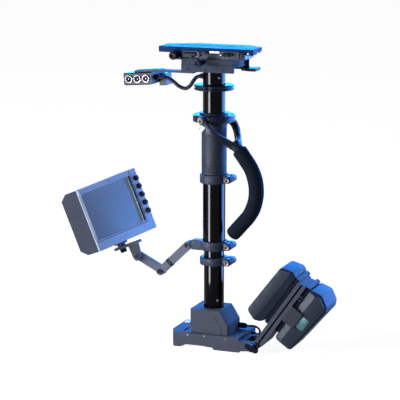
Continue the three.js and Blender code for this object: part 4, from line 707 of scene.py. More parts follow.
for finish, smooth_angle, names in (
    (collar_coat, 42, "lower_collar middle_collar upper_collar"),
    (anodised, 42, "docking_ring bearing_housing gimbal_ring"),
    (bolt_steel, 42, "lower_collar_screw middle_collar_screw upper_collar_screw docking_screw"),
    (bolt_steel, 42, "yoke_bolt_front yoke_bolt_back"),
    (anodised, 42, "arm_bolt_shoulder arm_bolt_elbow arm_bolt_wrist gimbal_bearing"),
    (yoke_coat, 30, "yoke"),
    (black_plastic_and_shade, 42, "shoe_thumbscrew"),
):
    for name in names.split():
        smooth_copy(name, finish, smooth_angle)
print("smooth copies made")

# %% [markdown]
# ## The two leads
#
# Both leads are clipped at both ends, so neither hangs free. The video lead leaves the box's side,
# dips under its own weight beside the post and rises into a gland under the stage. It is 8.6 mm
# thick and about 116 mm long. The jumper lead, 4.8 mm thick and about 52 mm long, joins the block
# to the tray's end with one tight turn between two plugs. Each is a sweep along a smooth curve
# through listed points, and its length is measured along that curve.

# %% Video lead
VIDEO_LEAD = [
    (-125.84, -19, 607.56), (-115, -17.5, 607.5), (-104, -14.5, 606), (-92, -11.5, 598),
    (-80, -8.5, 588), (-66, -5.5, 583.5), (-55.5, -4, 590), (-48.5, -2.5, 601),
    (-41, -1, 609.5), (-31.4, 0, 612.3),
]
BOOT = [
    (0, 0.3), (6.4, 0.3), (6.4, 1.6), (5.5, 1.9), (5.5, 2.7), (6.3, 3.0), (6.1, 4.0), (5.3, 4.3),
    (5.3, 5.1), (5.9, 5.4), (5.6, 6.6), (4.9, 7.4), (0, 7.4),
]
BOOT_BACK = 6


def lead(name, points, radius, steps, sides, node):
    """A tube along a smooth curve that goes back into the object."""
    path = through(np.asarray(points) * MM, steps)
    piece = skin(name, swept_grid(path, radius * MM, sides))
    dress(piece, cable_rubber, node)
    print(name, "is", round(path_length(path) * 1000, 1), "mm long")


def gland(name, centre, way, profile, finish, node):
    """A turned boot round a lead, along X, either to the right (way 1) or to the left (way -1)."""
    return dress(turned(name, profile, 40, at_post(centre), (way, 0, 0)), finish, on=node)


box_side = np.array(VIDEO_LEAD[0]) - (BOOT_BACK, 0, 0)
box_boot = gland("lead_boot_box", box_side, 1, BOOT, grommet_rubber, "stage_cable")
post_boot = gland("lead_boot_post", (-25.3, 0, 612.3), -1, BOOT, grommet_rubber, "stage_cable")
lead("video_lead", VIDEO_LEAD, 4.3, 90, 20, "stage_cable")

# %% Jumper lead
JUMPER = [
    (68.5, 31, 42.6), (76, 31.3, 42.9), (85.5, 33, 42.6), (94.5, 35, 38), (97.8, 36.8, 31.6),
    (95.4, 38.8, 25), (88, 42, 21),
]
UPPER_PLUG = [
    (0, 0), (6.3, 0), (6.5, 0.6), (6.5, 5), (5.9, 5.4), (5.9, 6.4), (6.5, 6.8), (6.5, 13),
    (6.1, 14), (5.2, 18), (3.4, 20), (0, 20),
]
LOWER_PLUG = [
    (0, 0), (6.3, 0), (6.5, 0.6), (6.5, 5.4), (5.9, 6.4), (4.8, 9.6), (3.4, 11), (0, 11),
]
plugs = [
    gland("jumper_plug_upper", (48.8, 31, 42.6), 1, UPPER_PLUG, black_plastic_and_shade, "base_lead"),
    gland("jumper_plug_lower", (77.3, 42, 21), 1, LOWER_PLUG, black_plastic_and_shade, "base_lead"),
]
lead("jumper_lead", JUMPER, 2.4, 60, 18, "base_lead")

# %% [markdown]
# ## The post
#
# The post is two tubes, one sliding in the other. A tube is the simplest turned surface: a closed
# profile of outer wall, end and bore, with a small chamfer as cut tube has. It gets many sides,
# because the long highlight down its front shows every flat.

# %% Two tubes


def heights(node):
    """The lowest and the highest point of a CAD node in millimetres."""
    return [corner[Z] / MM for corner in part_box(node)]


def tube_profile(inner, outer, low, high, edge=0.5):
    """Outer wall, chamfered ends and bore of a tube, as radius and height pairs in mm."""
    return [
        (outer - edge, low), (outer, low + edge), (outer, high - edge), (outer - edge, high),
        (inner + edge, high), (inner, high - edge), (inner, low + edge), (inner + edge, low),
    ]


for node, inner, outer in (("lower_tube", 20.5, 23), ("upper_tube", 23.5, 25.4)):
    low, high = heights(node)
    dress(turned("post_" + node, tube_profile(inner, outer, low, high), 160), lacquer, node)
    print(node, "from", round(low), "to", round(high), "mm")

# %% [markdown]
# The gimbal's sleeve is a plain turned collar with three grooves at its foot and a flare at its
# head. The grooves have small rounded corners, so that they catch a thin line of light.

# %% Gimbal sleeve
SLEEVE_BORE, SLEEVE_OUTER, SLEEVE_CHAMFER = 25.7, 28.2, 0.5
GROOVE_HEIGHTS = (7, 14, 21)
GROOVE = [(0, 0), (0.25, 0.15), (0.9, 0.5), (0.9, 1.5), (0.25, 1.85), (0, 2)]
FLARE = [(0, 3.2), (0.15, 2.7), (0.65, 2.0), (0.8, 1.6), (0.8, 0.3), (0.5, 0)]
low, high = heights("gimbal_sleeve")
sleeve_profile = [
    (SLEEVE_BORE, low),
    (SLEEVE_OUTER - SLEEVE_CHAMFER, low),
    (SLEEVE_OUTER, low + SLEEVE_CHAMFER),
    *[(SLEEVE_OUTER - cut, low + z + rise) for z in GROOVE_HEIGHTS for cut, rise in GROOVE],
    *[(SLEEVE_OUTER + out, high - down) for out, down in FLARE],
    (SLEEVE_BORE, high),
]
dress(turned("sleeve", sleeve_profile, 128), sleeve_coat, "gimbal_sleeve")
print("sleeve from", round(low, 1), "to", round(high, 1), "mm")

# %% [markdown]
# ## The handle
#
# A foam sleeve is pushed over a bent stem. Foam isn't a hard tube: it bulges a little between its
# ends, and its cut ends are rounded. The sweep follows the stem's line, a straight, an arc and a
# straight. Its radius swells in the middle, dips in a few soft places where a hand has held it,
# and rolls in at both ends.

# %% Stem and foam sleeve
HANDLE_START = (60, -60.6)
HANDLE_SLOPE = math.radians(50)
HANDLE_TOP, HANDLE_BEND, HANDLE_ANGLE, HANDLE_FOOT = 43.7, 96, math.radians(83), 53.6
HANDLE_LENGTH = HANDLE_TOP + HANDLE_BEND * HANDLE_ANGLE + HANDLE_FOOT
STEM_START, STEM_SETBACK, STEM_RADIUS = 6.3, 2, 10.5
GRIP_START, GRIP_RADIUS, TOP_ROLL, FOOT_ROLL = 8.1, 16.55, 3.2, 4.2
ROLL_CLEAR = 1.3


def handle_line(distances):
    """Points on the handle's centre line in the gimbal's frame: straight down the slope, then
    round the bend, then straight again, by distance along the line."""
    s = np.asarray(distances, float)
    first = np.minimum(s, HANDLE_TOP)
    rest = np.maximum(s - HANDLE_TOP - HANDLE_BEND * HANDLE_ANGLE, 0)
    a = HANDLE_SLOPE + np.clip((s - HANDLE_TOP) / HANDLE_BEND, 0, HANDLE_ANGLE)
    c, d = math.cos(HANDLE_SLOPE), math.sin(HANDLE_SLOPE)
    x = HANDLE_START[0] + first * c + HANDLE_BEND * (np.sin(a) - d) + rest * np.cos(a)
    z = HANDLE_START[1] - first * d + HANDLE_BEND * (np.cos(a) - c) - rest * np.sin(a)
    return np.stack([x, np.zeros_like(s), z], axis=-1)


def rolled_in(past, roll):
    """How far a rounded end has drawn in, a distance past the start of its quarter circle:
    roll * (1 - sqrt(1 - share^2)), where the share is the distance over the roll."""
    return roll * (1 - np.sqrt(1 - np.clip(past / roll, 0, 1) ** 2))


stem_path = at_gimbal(handle_line(np.linspace(STEM_START, HANDLE_LENGTH - STEM_SETBACK, 80)))
dress(skin("stem", swept_grid(stem_path, STEM_RADIUS * MM, 40)), link_coat, "handle_stem")

foot_start = HANDLE_LENGTH - FOOT_ROLL
s = np.concatenate([
    GRIP_START + TOP_ROLL * (1 - np.cos(np.linspace(0, np.pi / 2, 8))),
    np.linspace(GRIP_START + TOP_ROLL + ROLL_CLEAR, foot_start - ROLL_CLEAR, 150),
    foot_start + FOOT_ROLL * np.sin(np.linspace(0, np.pi / 2, 9)),
])
share = (s - GRIP_START) / (HANDLE_LENGTH - GRIP_START)
swell = 0.45 * np.sin(np.pi * share) + 0.12 * np.sin(23 * share) + 0.08 * np.sin(41 * share + 1)
rolls = rolled_in(GRIP_START + TOP_ROLL - s, TOP_ROLL) + rolled_in(s - foot_start, FOOT_ROLL)
grip_grid = swept_grid(at_gimbal(handle_line(s)), (GRIP_RADIUS + swell - rolls) * MM, 72)
grip = dress(skin("foam_grip", grip_grid), foam, "handle_grip")
print("handle is", round(HANDLE_LENGTH), "mm along its line")

# %% [markdown]
# ## The batteries
#
# Each battery is a moulded shell with rounded front and back edges, and a seam where its two
# halves meet. It is a loft of its outline seen from the front. The corners are given as a distance
# along the rail and a height over the plate that carries it, so the upper pack grows upwards and
# the lower one down.

# %% Battery shells
FRONT_EDGE = [(5.0, 41.6), (3.4, 41.6), (2.0, 41.1), (0.9, 40.0), (0.25, 38.5), (0, 36.6)]
SEAM = [(0, 0.2), (0.35, 0.3), (0.35, 0.7), (0, 0.8)]
SHELL_EDGE = [(inset, -depth) for inset, depth in FRONT_EDGE] + SEAM + FRONT_EDGE[::-1]
UPPER_SIDE = [(67, 0), (56, 7), (49, 21), (59, 47.5), (187, 42), (197, 13), (191, 0)]
UPPER_TOP = [(66, 20.1), (56, 20.5), (53, 23), (61.5, 44.3), (184.5, 39.3), (193, 17), (187, 15.1)]
LOWER_SIDE = [
    (53, 0), (48.5, 4), (47, 12), (47, 45.6), (170, 58), (183, 52), (196.5, 29), (190, 0),
]
LOWER_TOP = [
    (60, 16), (53, 16.4), (50.4, 19), (50.4, 42.8), (169.5, 54.6), (180.5, 49.5), (192.4, 28.5),
    (186, 19.6),
]
PACKS = {"upper": (15.3, 1, UPPER_SIDE, UPPER_TOP), "lower": (-24.1, -1, LOWER_SIDE, LOWER_TOP)}
SHELL_RADIUS = 9


def over_plate(corners, plate, way):
    """Corners given along the rail and over the plate, in the rail's own frame."""
    return [(along, plate + way * height) for along, height in corners]


for pack, (plate, way, side, _) in PACKS.items():
    outline = rounded_outline(over_plate(side, plate, way), SHELL_RADIUS)
    shell = lofted("battery_shell_" + pack, outline, SHELL_EDGE, at_rail)
    dress(shell, battery_plastic, "battery_" + pack)
print("battery shells:", len(SHELL_EDGE), "rows deep")

# %% [markdown]
# The front and the back of each shell carry a raised panel. Three of its sides are steep, and the
# side towards the rail is one long slope, which catches the light on one battery and lies in shade
# on the other. It is a loft between two outlines with the same number of corners: its foot, which
# follows the shell, and its flat top.

# %% Raised panels
PANEL_ROWS = [(0, 0, 41.2), (0, 0, 41.6), (0.93, 0, 45.6), (0.985, 0, 45.95), (1, 0.35, 46)]
FOOT_INSET, FOOT_RADIUS, TOP_RADIUS = 3.6, 7, 4


def raised_panel(name, foot, top, way, node):
    """Each row of the panel has a share, an inset and a depth. The share blends the foot's outline
    into the top's; the way is -1 for the front and 1 for the back."""
    outlines = [drawn_in(foot + (top - foot) * share, inset) for share, inset, _ in PANEL_ROWS]
    grid = layers(outlines, [way * depth for _, _, depth in PANEL_ROWS], Y)
    return dress(skin(name, at_rail(grid), smooth_angle=24), panel_plastic, on=node)


for pack, (plate, way, side, top) in PACKS.items():
    foot = rounded_outline(shrunk(over_plate(side, plate, way), FOOT_INSET), FOOT_RADIUS)
    flat = rounded_outline(over_plate(top, plate, way), TOP_RADIUS)
    for depth_way, label in ((-1, "front"), (1, "back")):
        raised_panel(f"panel_{pack}_{label}", foot, flat, depth_way, "battery_" + pack)
print("four raised panels")

# %% [markdown]
# The lower battery carries a small teal plate beside its release, with a fine slanting weave as
# printed metal foil has.

# %% Label plate


def label_paint():
    """Teal foil: a slanting wave every 2 mm shifts it between two teals; the wave is a sine of the
    distance along a turned axis."""
    paint = Paint("label_teal")
    slant = paint.place(turn=(0, 0.6, 0))
    wave = paint.node("TexWave", {"Vector": slant, "Scale": 160.0, "Distortion": 0.6})
    clouds = paint.noise(60, 3)
    base = (0.35 * wave + 0.4 * clouds).mixed((0.012, 0.12, 0.15), (0.10, 0.36, 0.38))
    return paint.done(base, 0.3 + 0.15 * clouds, paint.bump(wave, 2e-5, 0.0003))


label_outline = rounded_outline(rectangle(104, 133, -44.5, -65.5), 1.5, 4)
LABEL_EDGE = [(0.4, -46.5), (0, -46.3), (0, -45.2)]
label = lofted("label_plate", label_outline, LABEL_EDGE, at_rail)
dress(label, label_paint(), on="battery_lower")
print("label plate done")

# %% [markdown]
# The rail between the batteries is a stack of flat bars. From the front it reads as dark gaps
# between paler edges, so dark strips lie in the gaps: painted shade. Two small hooks hold the
# lower battery's plate.

# %% Painted shade in the rail's gaps, and hooks on the rail
BAR_SOFTNESS = 0.4


def rail_bar(name, along, depth, rise, finish):
    """A bar in the rail's frame, from a range along it, a range in depth and a range in height."""
    near, far = depth
    edge = [(BAR_SOFTNESS, near), (0, near + BAR_SOFTNESS), (0, far)]
    outline = rounded_outline(rectangle(*along, *rise), 0.5, 4)
    return dress(lofted(name, outline, edge, at_rail), finish, on="battery_rail")


# Painted shade: dark strips where the gaps between the rail's bars are in shade.
rail_bar("rail_gap_shade_middle", (14.5, 187.6), (-42.4, -41), (-6.2, -2.6), dark_trim_and_shade)
rail_bar("rail_gap_shade_upper", (63.6, 190.6), (-40.2, -38.9), (6.0, 14.8), dark_trim_and_shade)
rail_bar("rail_gap_shade_lower", (63.6, 190.6), (-40.2, -38.9), (-23.6, -14.8), dark_trim_and_shade)
rail_bar("rail_hook_1", (155.5, 158.5), (-45.5, -40), (-23.2, -14.9), release_plastic)
rail_bar("rail_hook_2", (163.0, 166.5), (-45.5, -40), (-23.2, -14.9), release_plastic)
print("rail strips done")

# %% [markdown]
# ## The monitor's face
#
# A raised frame stands round the screen, a dark strip lies to the right of the window, and a plain
# margin carries the knobs and keys. The frame is a rectangular ring: a small profile of height
# against distance from the outer edge, repeated on rectangles that shrink as the profile goes
# inwards.

# %% Frame round the screen
FACE = -33
MONITOR_LEFT, MONITOR_TOP = -91, 146.7
LEFT, TOP, RIGHT, BOTTOM = WINDOW = 6.6, 12.1, 153.6, 122.1
RIM_OUTER, RIM_RADIUS = (2.2, 3.4, RIGHT + 5.2, 124.6), 2.0
RIM = [
    (0, 0.1), (0.02, 1.3), (0.07, 1.7), (0.45, 1.7), (0.52, 1.2), (0.60, 1.2), (0.67, 1.7),
    (0.9, 1.6), (1, 1.1), (1, -1.6), (0.9, -1.6), (0.85, 0.1),
]


def at_face(points):
    """Millimetres from the face's top left corner: right, down and out of the face."""
    right, down, out = np.moveaxis(np.asarray(points, float), -1, 0)
    return at_monitor(np.stack([MONITOR_LEFT + right, FACE - out, MONITOR_TOP - down], axis=-1))


def rounded_box(box, radius):
    """The rounded outline of a box given as left, top, right and bottom."""
    left, top, right, bottom = box
    return rounded_outline(rectangle(left, right, top, bottom), radius, 5)


def frame_box(share):
    """The rounded box that lies at a share of the way from the frame's rim to the window."""
    box = np.array(RIM_OUTER) + (np.array(WINDOW) - RIM_OUTER) * share
    return rounded_box(box, RIM_RADIUS * (1 - 0.7 * share))


def face_pad(name, box, height, finish, radius, foot=0.1):
    """A low pad on the face: a rounded rectangle with softened edges."""
    edge = [(0.5, height), (0.15, height - 0.12), (0, height - 0.4), (0, foot)]
    pad = lofted(name, rounded_box(box, radius), edge, at_face, Z, 35)
    return dress(pad, finish, on="monitor_bezel")


shares, lifts = zip(*RIM)
ring_grid = at_face(layers([frame_box(share) for share in shares], lifts, Z))
ring = skin("screen_frame", ring_grid, wrap_rows=True, smooth_angle=25)
dress(ring, bezel, on="monitor_bezel")
strip_box = (RIGHT - 0.3, TOP + 0.4, RIGHT + 3.6, BOTTOM - 0.4)
face_pad("dark_strip", strip_box, 1.95, black_plastic_and_shade, 0.4)
# Painted shade: dark pads for the shade in the grooves and in the gap along the face's left edge.
face_pad("right_groove_shade", (160.0, 1.0, 161.4, 127), 0.35, dark_trim_and_shade, 0.4)
face_pad("foot_groove_shade", (1.0, 125.7, 160.2, 126.9), 0.35, dark_trim_and_shade, 0.4)
face_pad("left_gap_shade", (0.1, 14, 1.9, 124), 0.5, black_plastic_and_shade, 0.3)
face_pad("sensor_bar", (80, 4.9, 92, 6.5), 2.0, bezel, 0.7, 1.6)
face_pad("sensor_dot", (93, 4.4, 96.4, 7.2), 2.1, dark_trim_and_shade, 1.3, 1.6)
print("frame round a", RIGHT - LEFT, "by", BOTTOM - TOP, "mm window")

# %% [markdown]
# Each of the five knobs is a turned cap with a domed top, whose radius is scaled by a shallow
# cosine. The flutes deepen from the foot upwards and end under the dome, as on a moulded knob. A
# pale line on each cap, at the same turn on all five, is a painted highlight: the glint each knob
# shows on its right.

# %% Knobs
KNOB_PROFILE = [
    (0, 0.3), (5.4, 0.3), (6, 0.8), (6, 6.4), (5.7, 7.3), (4.9, 7.9), (3.2, 8), (0, 7.9),
]
KNOB_RIGHT, KNOB_FIRST, KNOB_STEP = 172.4, 23, 19.9
LINE_TURN, LINE_LEVELS = 51.57, (8.12, 7.7)


def fluted(count, depth, low, high):
    """Radius scale 1 - depth cos^2 between two heights of the profile, and 1 outside."""
    return lambda t, h: 1 - depth * np.cos(count * t / 2) ** 2 * ((h > low) & (h < high))


knob_out = at_face((0, 0, 1)) - at_face((0, 0, 0))
flutes = fluted(24, 0.07, 0.9, 6.6)
line_grid = layers([rectangle(-0.35, 0.35, -4.6, -1.2)] * 2, LINE_LEVELS, Z)
for i in range(5):
    centre = np.array([KNOB_RIGHT, KNOB_FIRST + KNOB_STEP * i, 0])
    node = f"monitor_knob_{i + 1}"
    cap = turned(f"knob_cap_{i + 1}", KNOB_PROFILE, 96, at_face(centre), knob_out, flutes)
    dress(cap, black_plastic_and_shade, node)
    # Painted highlight: a pale line where each knob shows its glint.
    line = skin(f"knob_glint_{i + 1}", at_face(spun(line_grid, LINE_TURN, Y) + centre))
    dress(line, white_plastic, on=node)
print("five knobs, one every", KNOB_STEP, "mm")

# %% [markdown]
# ## Screws and knobs
#
# A socket-head screw is a short cylinder with a rounded rim and a six-sided well. As a turned
# surface it needs no boolean: the profile runs up the outside, over the rim and down into the
# well, where the rows use six-sided radii. Each screw has a place on a surface and a direction
# that it looks along.

# %% Socket screws
CAP_RING, CAP_SEAT = 37.2, 5.3
TRAY_FRONT, TRAY_HEIGHT = -46, 29


def six_sided(t, _):
    """Radius of a regular hexagon at the angle t, as a share of its corner radius."""
    return np.cos(np.pi / 6) / np.cos(np.mod(t, np.pi / 3) - np.pi / 6)


def socket_screw(name, centre, axis, r, h, node, finish=steel, sides=36):
    """A screw head of radius r that stands h millimetres off a surface at the centre, which is in
    metres. Its foot is sunk a little."""
    outside = [(0, -0.2), (r, -0.2), (r, h - 0.18 * r), (0.92 * r, h - 0.04 * r), (0.82 * r, h)]
    lip = [(0.62 * r, h)]
    well = [(0.56 * r, h - 0.06 * r), (0.56 * r, h - 0.7 * r), (0, h - 0.75 * r)]
    round_rows = turned_grid(outside + lip, sides, centre, axis)
    grid = np.vstack([round_rows, turned_grid(well, sides, centre, axis, six_sided)])
    return dress(skin(name, grid, smooth_angle=32), finish, on=node)


head, foot, plate = at_post([(17.8, -18.0, 612), (15.1, -17.2, 108), (95.6, -46, 671.8)])
socket_screw("post_head_screw", head, (0.70, -0.71, 0), 2.2, 0.9, "upper_tube")
socket_screw("post_foot_screw", foot, (0.66, -0.75, 0), 2.3, 0.9, "lower_tube")
# This screw head is white: a painted highlight for the glint on it.
socket_screw("plate_screw", plate, FRONT, 2.4, 0.8, "camera_plate", white_plastic)
for i in range(6):
    spot = at_gimbal(spun((CAP_RING, 0, CAP_SEAT), 60 * i + 30, Y))
    socket_screw(f"cap_screw_{i + 1}", spot, UP, 1.7, 1.5, "bearing_housing", sides=24)
for i, x in enumerate((-46, -5, 44)):
    spot = at_post((x, TRAY_FRONT, TRAY_HEIGHT))
    socket_screw(f"tray_screw_{i + 1}", spot, FRONT, 1.5, 0.5, "base_tray", sides=24)
print("twelve screws placed")

# %% [markdown]
# A clamp in front of the camera plate holds it: a black lever on the left, a grey jaw on the
# right, and a small locking knob with a metal tip. They are plain bars, so each is one outline
# carried from front to back. They stand 2 mm clear of the plate's edge, because the plate slides
# past them.

# %% Clamp of the camera plate
LEVER = [(-57.5, 664), (-22.5, 662.6), (-22.5, 669.4), (-57.5, 670.6)]
HOOK = [
    (-25, 672), (-19, 672.4), (-15.5, 668), (-16.5, 661), (-22, 657.6), (-24.4, 659), (-20, 663),
    (-20, 667.5),
]
JAW_KNOB = [
    (0, 0), (2.9, 0), (2.9, 5.4), (3.9, 5.8), (4.3, 6.6), (4.3, 18), (3.7, 19.2), (2.6, 19.6),
    (2.2, 20.2), (2.2, 25.6), (1.6, 26.4), (0, 26.4),
]
JAW_TIP = [(0, 24.8), (2.5, 24.8), (2.7, 25.4), (2.7, 28.4), (2.1, 29.2), (0, 29.2)]
JAW_AXIS = (-1, 0, -0.08)


def clamp_bar(name, corners, near, far, finish, radius, soft=0.6):
    """An outline in the upright plane of the stage's front, from the nearer to the farther depth,
    with its front edge drawn in by the given softness."""
    edge = [(soft, near), (soft * 0.3, near + soft * 0.3), (0, near + soft), (0, far)]
    bar = lofted("clamp_" + name, rounded_outline(corners, radius, 5), edge, at_post)
    return dress(bar, finish, on="stage_carriage")


clamp_bar("lever", LEVER, -52, -48.2, black_plastic_and_shade, 2)
clamp_bar("lever_rim", rectangle(-57, -20, 671.4, 672.6), -50.4, -48.2, link_coat, 0.4, 0.3)
clamp_bar("post", rectangle(-41, -33, 657.6, 665), -49.2, -44.6, black_plastic_and_shade, 1.5)
clamp_bar("hook", HOOK, -50.6, -44.6, link_coat, 1.2)
# Painted shade: black bars in the recess and in the gap right of the jaw.
clamp_bar("recess_shade", rectangle(-13.6, 0.4, 665.5, 674), -48.6, -46.9, black_plastic_and_shade, 1.5)
clamp_bar("jaw", rectangle(33.5, 76.5, 657.6, 675), -50, -48, charcoal, 1.2)
clamp_bar("jaw_foot", rectangle(33.5, 76.5, 657.6, 666.6), -48.4, -44.6, charcoal, 1.2)
clamp_bar("gap_shade", rectangle(77.6, 89, 657.9, 674), -48.9, -48, black_plastic_and_shade, 1.2)
clamp_bar("gap_shade_foot", rectangle(77.6, 85, 657.9, 666.6), -48.4, -44.6, black_plastic_and_shade, 1.2)
for name, profile, sides, finish in (
    ("jaw_knob", JAW_KNOB, 60, black_plastic_and_shade), ("jaw_knob_tip", JAW_TIP, 40, steel)
):
    piece = turned(name, profile, sides, at_post((62.5, -54.2, 669.6)), JAW_AXIS)
    dress(piece, finish, on="stage_carriage")
print("clamp of the camera plate done")

# %% [markdown]
# The two stage knobs are turned too and look towards the front. The narrow one has a knurled rim.
# A knurl is a fine flute, so the same radius scale serves, with more and shallower waves. The wide
# one is a plain dished wheel.

# %% Stage knobs
SIDE_PROFILE = [
    (0, -1), (4, -1), (4, 12.6), (5.6, 13.2), (5.9, 14), (5.9, 25.4), (7.2, 26.4), (7.6, 27.2),
    (7.6, 37.6), (6.9, 38.7), (4.4, 39), (3.9, 38.4), (3.7, 36.4), (0, 36.2),
]
FORE_PROFILE = [
    (0, -0.2), (3, -0.2), (3, 3.6), (8.6, 3.9), (9.6, 4.9), (9.6, 16.6), (9.1, 18.6), (7.8, 20.4),
    (6.2, 20.9), (4.6, 20.4), (4.1, 19.2), (3.9, 17.5), (0, 17.2),
]
FORE_START = -0.0453
side_spot = at_post((-8, -45, 649.1))
knurl = fluted(32, 0.05, 26.8, 38)
side_knob = turned("side_knob_turned", SIDE_PROFILE, 96, side_spot, FRONT, knurl)
dress(side_knob, black_plastic_and_shade, "side_knob")
fore_low, fore_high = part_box("fore_aft_knob")
fore_spot = ((fore_low[X] + fore_high[X]) / 2, FORE_START, (fore_low[Z] + fore_high[Z]) / 2)
fore_knob = turned("fore_aft_knob_turned", FORE_PROFILE, 120, fore_spot, FRONT)
dress(fore_knob, black_plastic_and_shade, "fore_aft_knob")
print("stage knobs at", side_spot.round(4).tolist(), np.round(fore_spot, 4).tolist())

# %% [markdown]
# On each of the video box's round sockets a bright nickel shell surrounds dark insulation, with a
# small pin in the middle. It is one turned shell with two turned fills, so that the three
# materials meet at clean edges.

# %% Video sockets
SOCKET_MIDDLE, SOCKET_STEP, SOCKET_HEIGHT = -38.5, 20.6, -14
SHELL = [
    (4.6, -3), (8.6, -3), (8.6, 0.2), (8.6, 3.2), (8.1, 3.9), (7.4, 4), (6.5, 3.4), (6.2, 2.4),
    (5.6, 1.6), (5.2, 0.6), (4.8, -2),
]
CORE = [
    (0, -2.6), (5.15, -2.6), (5.15, 0.2), (4.6, 0.7), (2.3, 0.7), (1.9, 0.2), (1.2, 0.1), (0, 0.1),
]
PIN = [(0, 0), (1.15, 0), (1.15, 1.9), (0.7, 2.5), (0, 2.6)]
for i in (1, 2, 3):
    spot = at_box((SOCKET_MIDDLE + SOCKET_STEP * (i - 2), 0, SOCKET_HEIGHT))
    for part, profile, sides, finish in (
        ("shell", SHELL, 72, steel), ("core", CORE, 48, black_plastic_and_shade), ("pin", PIN, 24, steel)
    ):
        node = "video_connectors" if (i, part) == (1, "shell") else None
        piece = turned(f"video_{part}_{i}", profile, sides, spot, FRONT)
        dress(piece, finish, node, on="video_connectors")
print("three video sockets")

# %% [markdown]
# ## Band and pad
#
# A dark band is clamped round the upper link, where the link can turn on itself, and a grey pad is
# screwed to the front arm of the gimbal's yoke. Both are lofts of a rounded outline, one along the
# link and one laid on the arm's slope.

# %% Band on the upper link
ARM_SHOULDER, ARM_ELBOW = np.array([-60.2, 227.3]), np.array([-127.7, 161.2])
BAND = [(0.3, 57.4), (0, 57.8), (0, 65.0), (0.3, 65.4)]


def at_link(points):
    """Millimetres along the upper link from its shoulder, in depth and across the link."""
    p = np.asarray(points, float)
    along = (ARM_ELBOW - ARM_SHOULDER) / np.linalg.norm(ARM_ELBOW - ARM_SHOULDER)
    across = np.array([-along[1], along[0]])
    flat = ARM_SHOULDER + p[..., :1] * along + p[..., 2:] * across
    return np.stack([flat[..., 0], p[..., 1], flat[..., 1]], axis=-1) * MM


band_outline = rounded_outline(rectangle(-10.9, 0.4, -10.2, 10.2), 1.4, 5)
band = lofted("link_band", band_outline, BAND, at_link, X, 40)
dress(band, black_plastic_and_shade, on="link_end")
print("band at", at_link((61.5, -5, 0)).round(4).tolist())

# %% Pad on the front arm
PAD_CENTRE, PAD_SLOPE = (7, -58.4, -15.5), -40
PAD_EDGE = [(0.6, -2.2), (0.15, -2.0), (0, -1.5), (0, 3.2)]


def at_pad(points):
    """The pad's own frame: the gimbal's, turned about the depth axis to the arm's slope."""
    return at_gimbal(spun(points, PAD_SLOPE, Z) + PAD_CENTRE)


pad_outline = rounded_outline(rectangle(-5.6, 5.6, -6.4, 6.4), 1.2, 5)
dress(lofted("yoke_pad", pad_outline, PAD_EDGE, at_pad), pad_grey, on="yoke")
print("pad on the arm at", at_pad((0, 0, 0)).round(4).tolist())

# %% [markdown]
# ## Floor and light
#
# The photograph is cut out on white, so the floor is pale. For the camera, for gloss and for glass
# it is a little self-lit, so that it reads as white while the object's shadow still falls on it,
# and the world does the same. Two soft lamps light the object: a broad key from the front left and
# a weak fill from the right. The rest are seen by gloss alone: white ones in front and at the
# left, and blue ones behind, which draw the blue edges that black metal shows in the photograph.
# Two of them stand close to the post and draw the lines down its black tubes.

# %% Floor and world
FLOOR_SIZE, FLOOR_DROP, FLOOR_GLOW = 14.0, 0.0002, 0.9
WORLD_SOFT, WORLD_DIRECT = 0.08, 0.92


def seen_directly(paint):
    """1 for rays from the camera, from gloss and through glass, and 0 for soft bounced light."""
    ray = lambda kind: paint.node("LightPath", output=f"Is {kind} Ray")
    return (ray("Camera") + ray("Glossy") + ray("Transmission")).clipped(0, 1)


floor_paint = Paint("floor_pale")
floor_paint.tree.nodes.remove(floor_paint.shader)
strength = seen_directly(floor_paint) * FLOOR_GLOW
matte = floor_paint.node("BsdfDiffuse", {"Color": (0.86, 0.86, 0.87)})
glow = floor_paint.node("Emission", {"Color": (1, 1, 1), "Strength": strength})
both = floor_paint.node("AddShader", {0: matte, 1: glow})
floor_paint.feed(floor_paint.tree.nodes["Material Output"].inputs["Surface"], both)

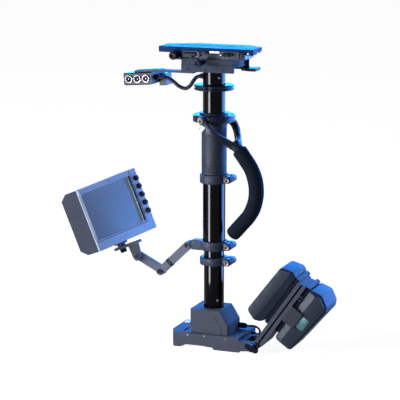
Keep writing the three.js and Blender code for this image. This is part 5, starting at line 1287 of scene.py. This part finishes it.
floor_mesh = bpy.data.meshes.new("floor")
low, high = -FLOOR_SIZE, FLOOR_SIZE
floor_mesh.from_pydata([(*xy, 0) for xy in rectangle(low, high, low, high)], [], [(0, 1, 2, 3)])
floor_mesh.materials.append(floor_paint.material)
floor = put("floor", floor_mesh)
floor.location.z = -FLOOR_DROP


class Sky(Paint):
    """The world's own node tree, with the same method for adding nodes."""

    def __init__(self, world):
        world.use_nodes = True
        self.tree = world.node_tree
        self.shader = self.tree.nodes["Background"]


world = bpy.data.worlds.new("studio")
bpy.context.scene.world = world
sky = Sky(world)
sky.feed(sky.shader.inputs["Color"], (1, 1, 1))
sky.feed(sky.shader.inputs["Strength"], WORLD_SOFT + WORLD_DIRECT * seen_directly(sky))
print("floor and world ready")

# %% Lamps
COOL_WHITE = (0.95, 0.97, 1.0)


def lamp(name, place, aim_height, size, power, gloss_tint=None):
    """A square area lamp at a place, turned to a point on the post's axis. With a tint it is seen
    by gloss alone, and without one it is white and lights everything."""
    data = bpy.data.lights.new(name, "AREA")
    data.shape = "RECTANGLE"
    data.size, data.size_y = size
    data.energy = power
    data.color = gloss_tint or (1, 1, 1)
    made = put(name, data)
    made.location = place
    look_along(made, Vector((0, 0, aim_height)) - Vector(place))
    made.visible_diffuse = gloss_tint is None
    made.visible_camera = False


lamp("key", (-2.3, -2.4, 1.0), 0.35, (1.0, 1.2), 78)
lamp("fill", (2.4, -2.2, 1.0), 0.3, (1.2, 1.6), 5)
lamp("strip_white", (-0.30, -0.53, 0.31), 0.31, (0.2, 0.62), 36, COOL_WHITE)
lamp("side_white", (-1.7, -1.33, 0.45), 0.3, (0.8, 0.9), 5, COOL_WHITE)
lamp("strip_pale", (0.54, 0.31, 0.31), 0.31, (0.36, 0.62), 38, (0.10, 0.34, 1.0))
lamp("rim_high", (0.44, 1.12, 0.47), 0.6, (0.7, 0.5), 22, (0.2, 0.42, 1.0))
lamp("rim_blue", (2.0, 1.9, 1.6), 0.3, (1.6, 1.8), 460, (0.0, 0.2, 1.0))
lamp("back_blue", (-0.9, 3.0, 1.5), 0.3, (3.4, 1.6), 900, (0.0, 0.24, 1.0))

# %% [markdown]
# ## Picture settings
#
# The view transform is Standard, so a colour renders as it is written.

# %% Settings and finish
bpy.context.scene.view_settings.view_transform = "Standard"
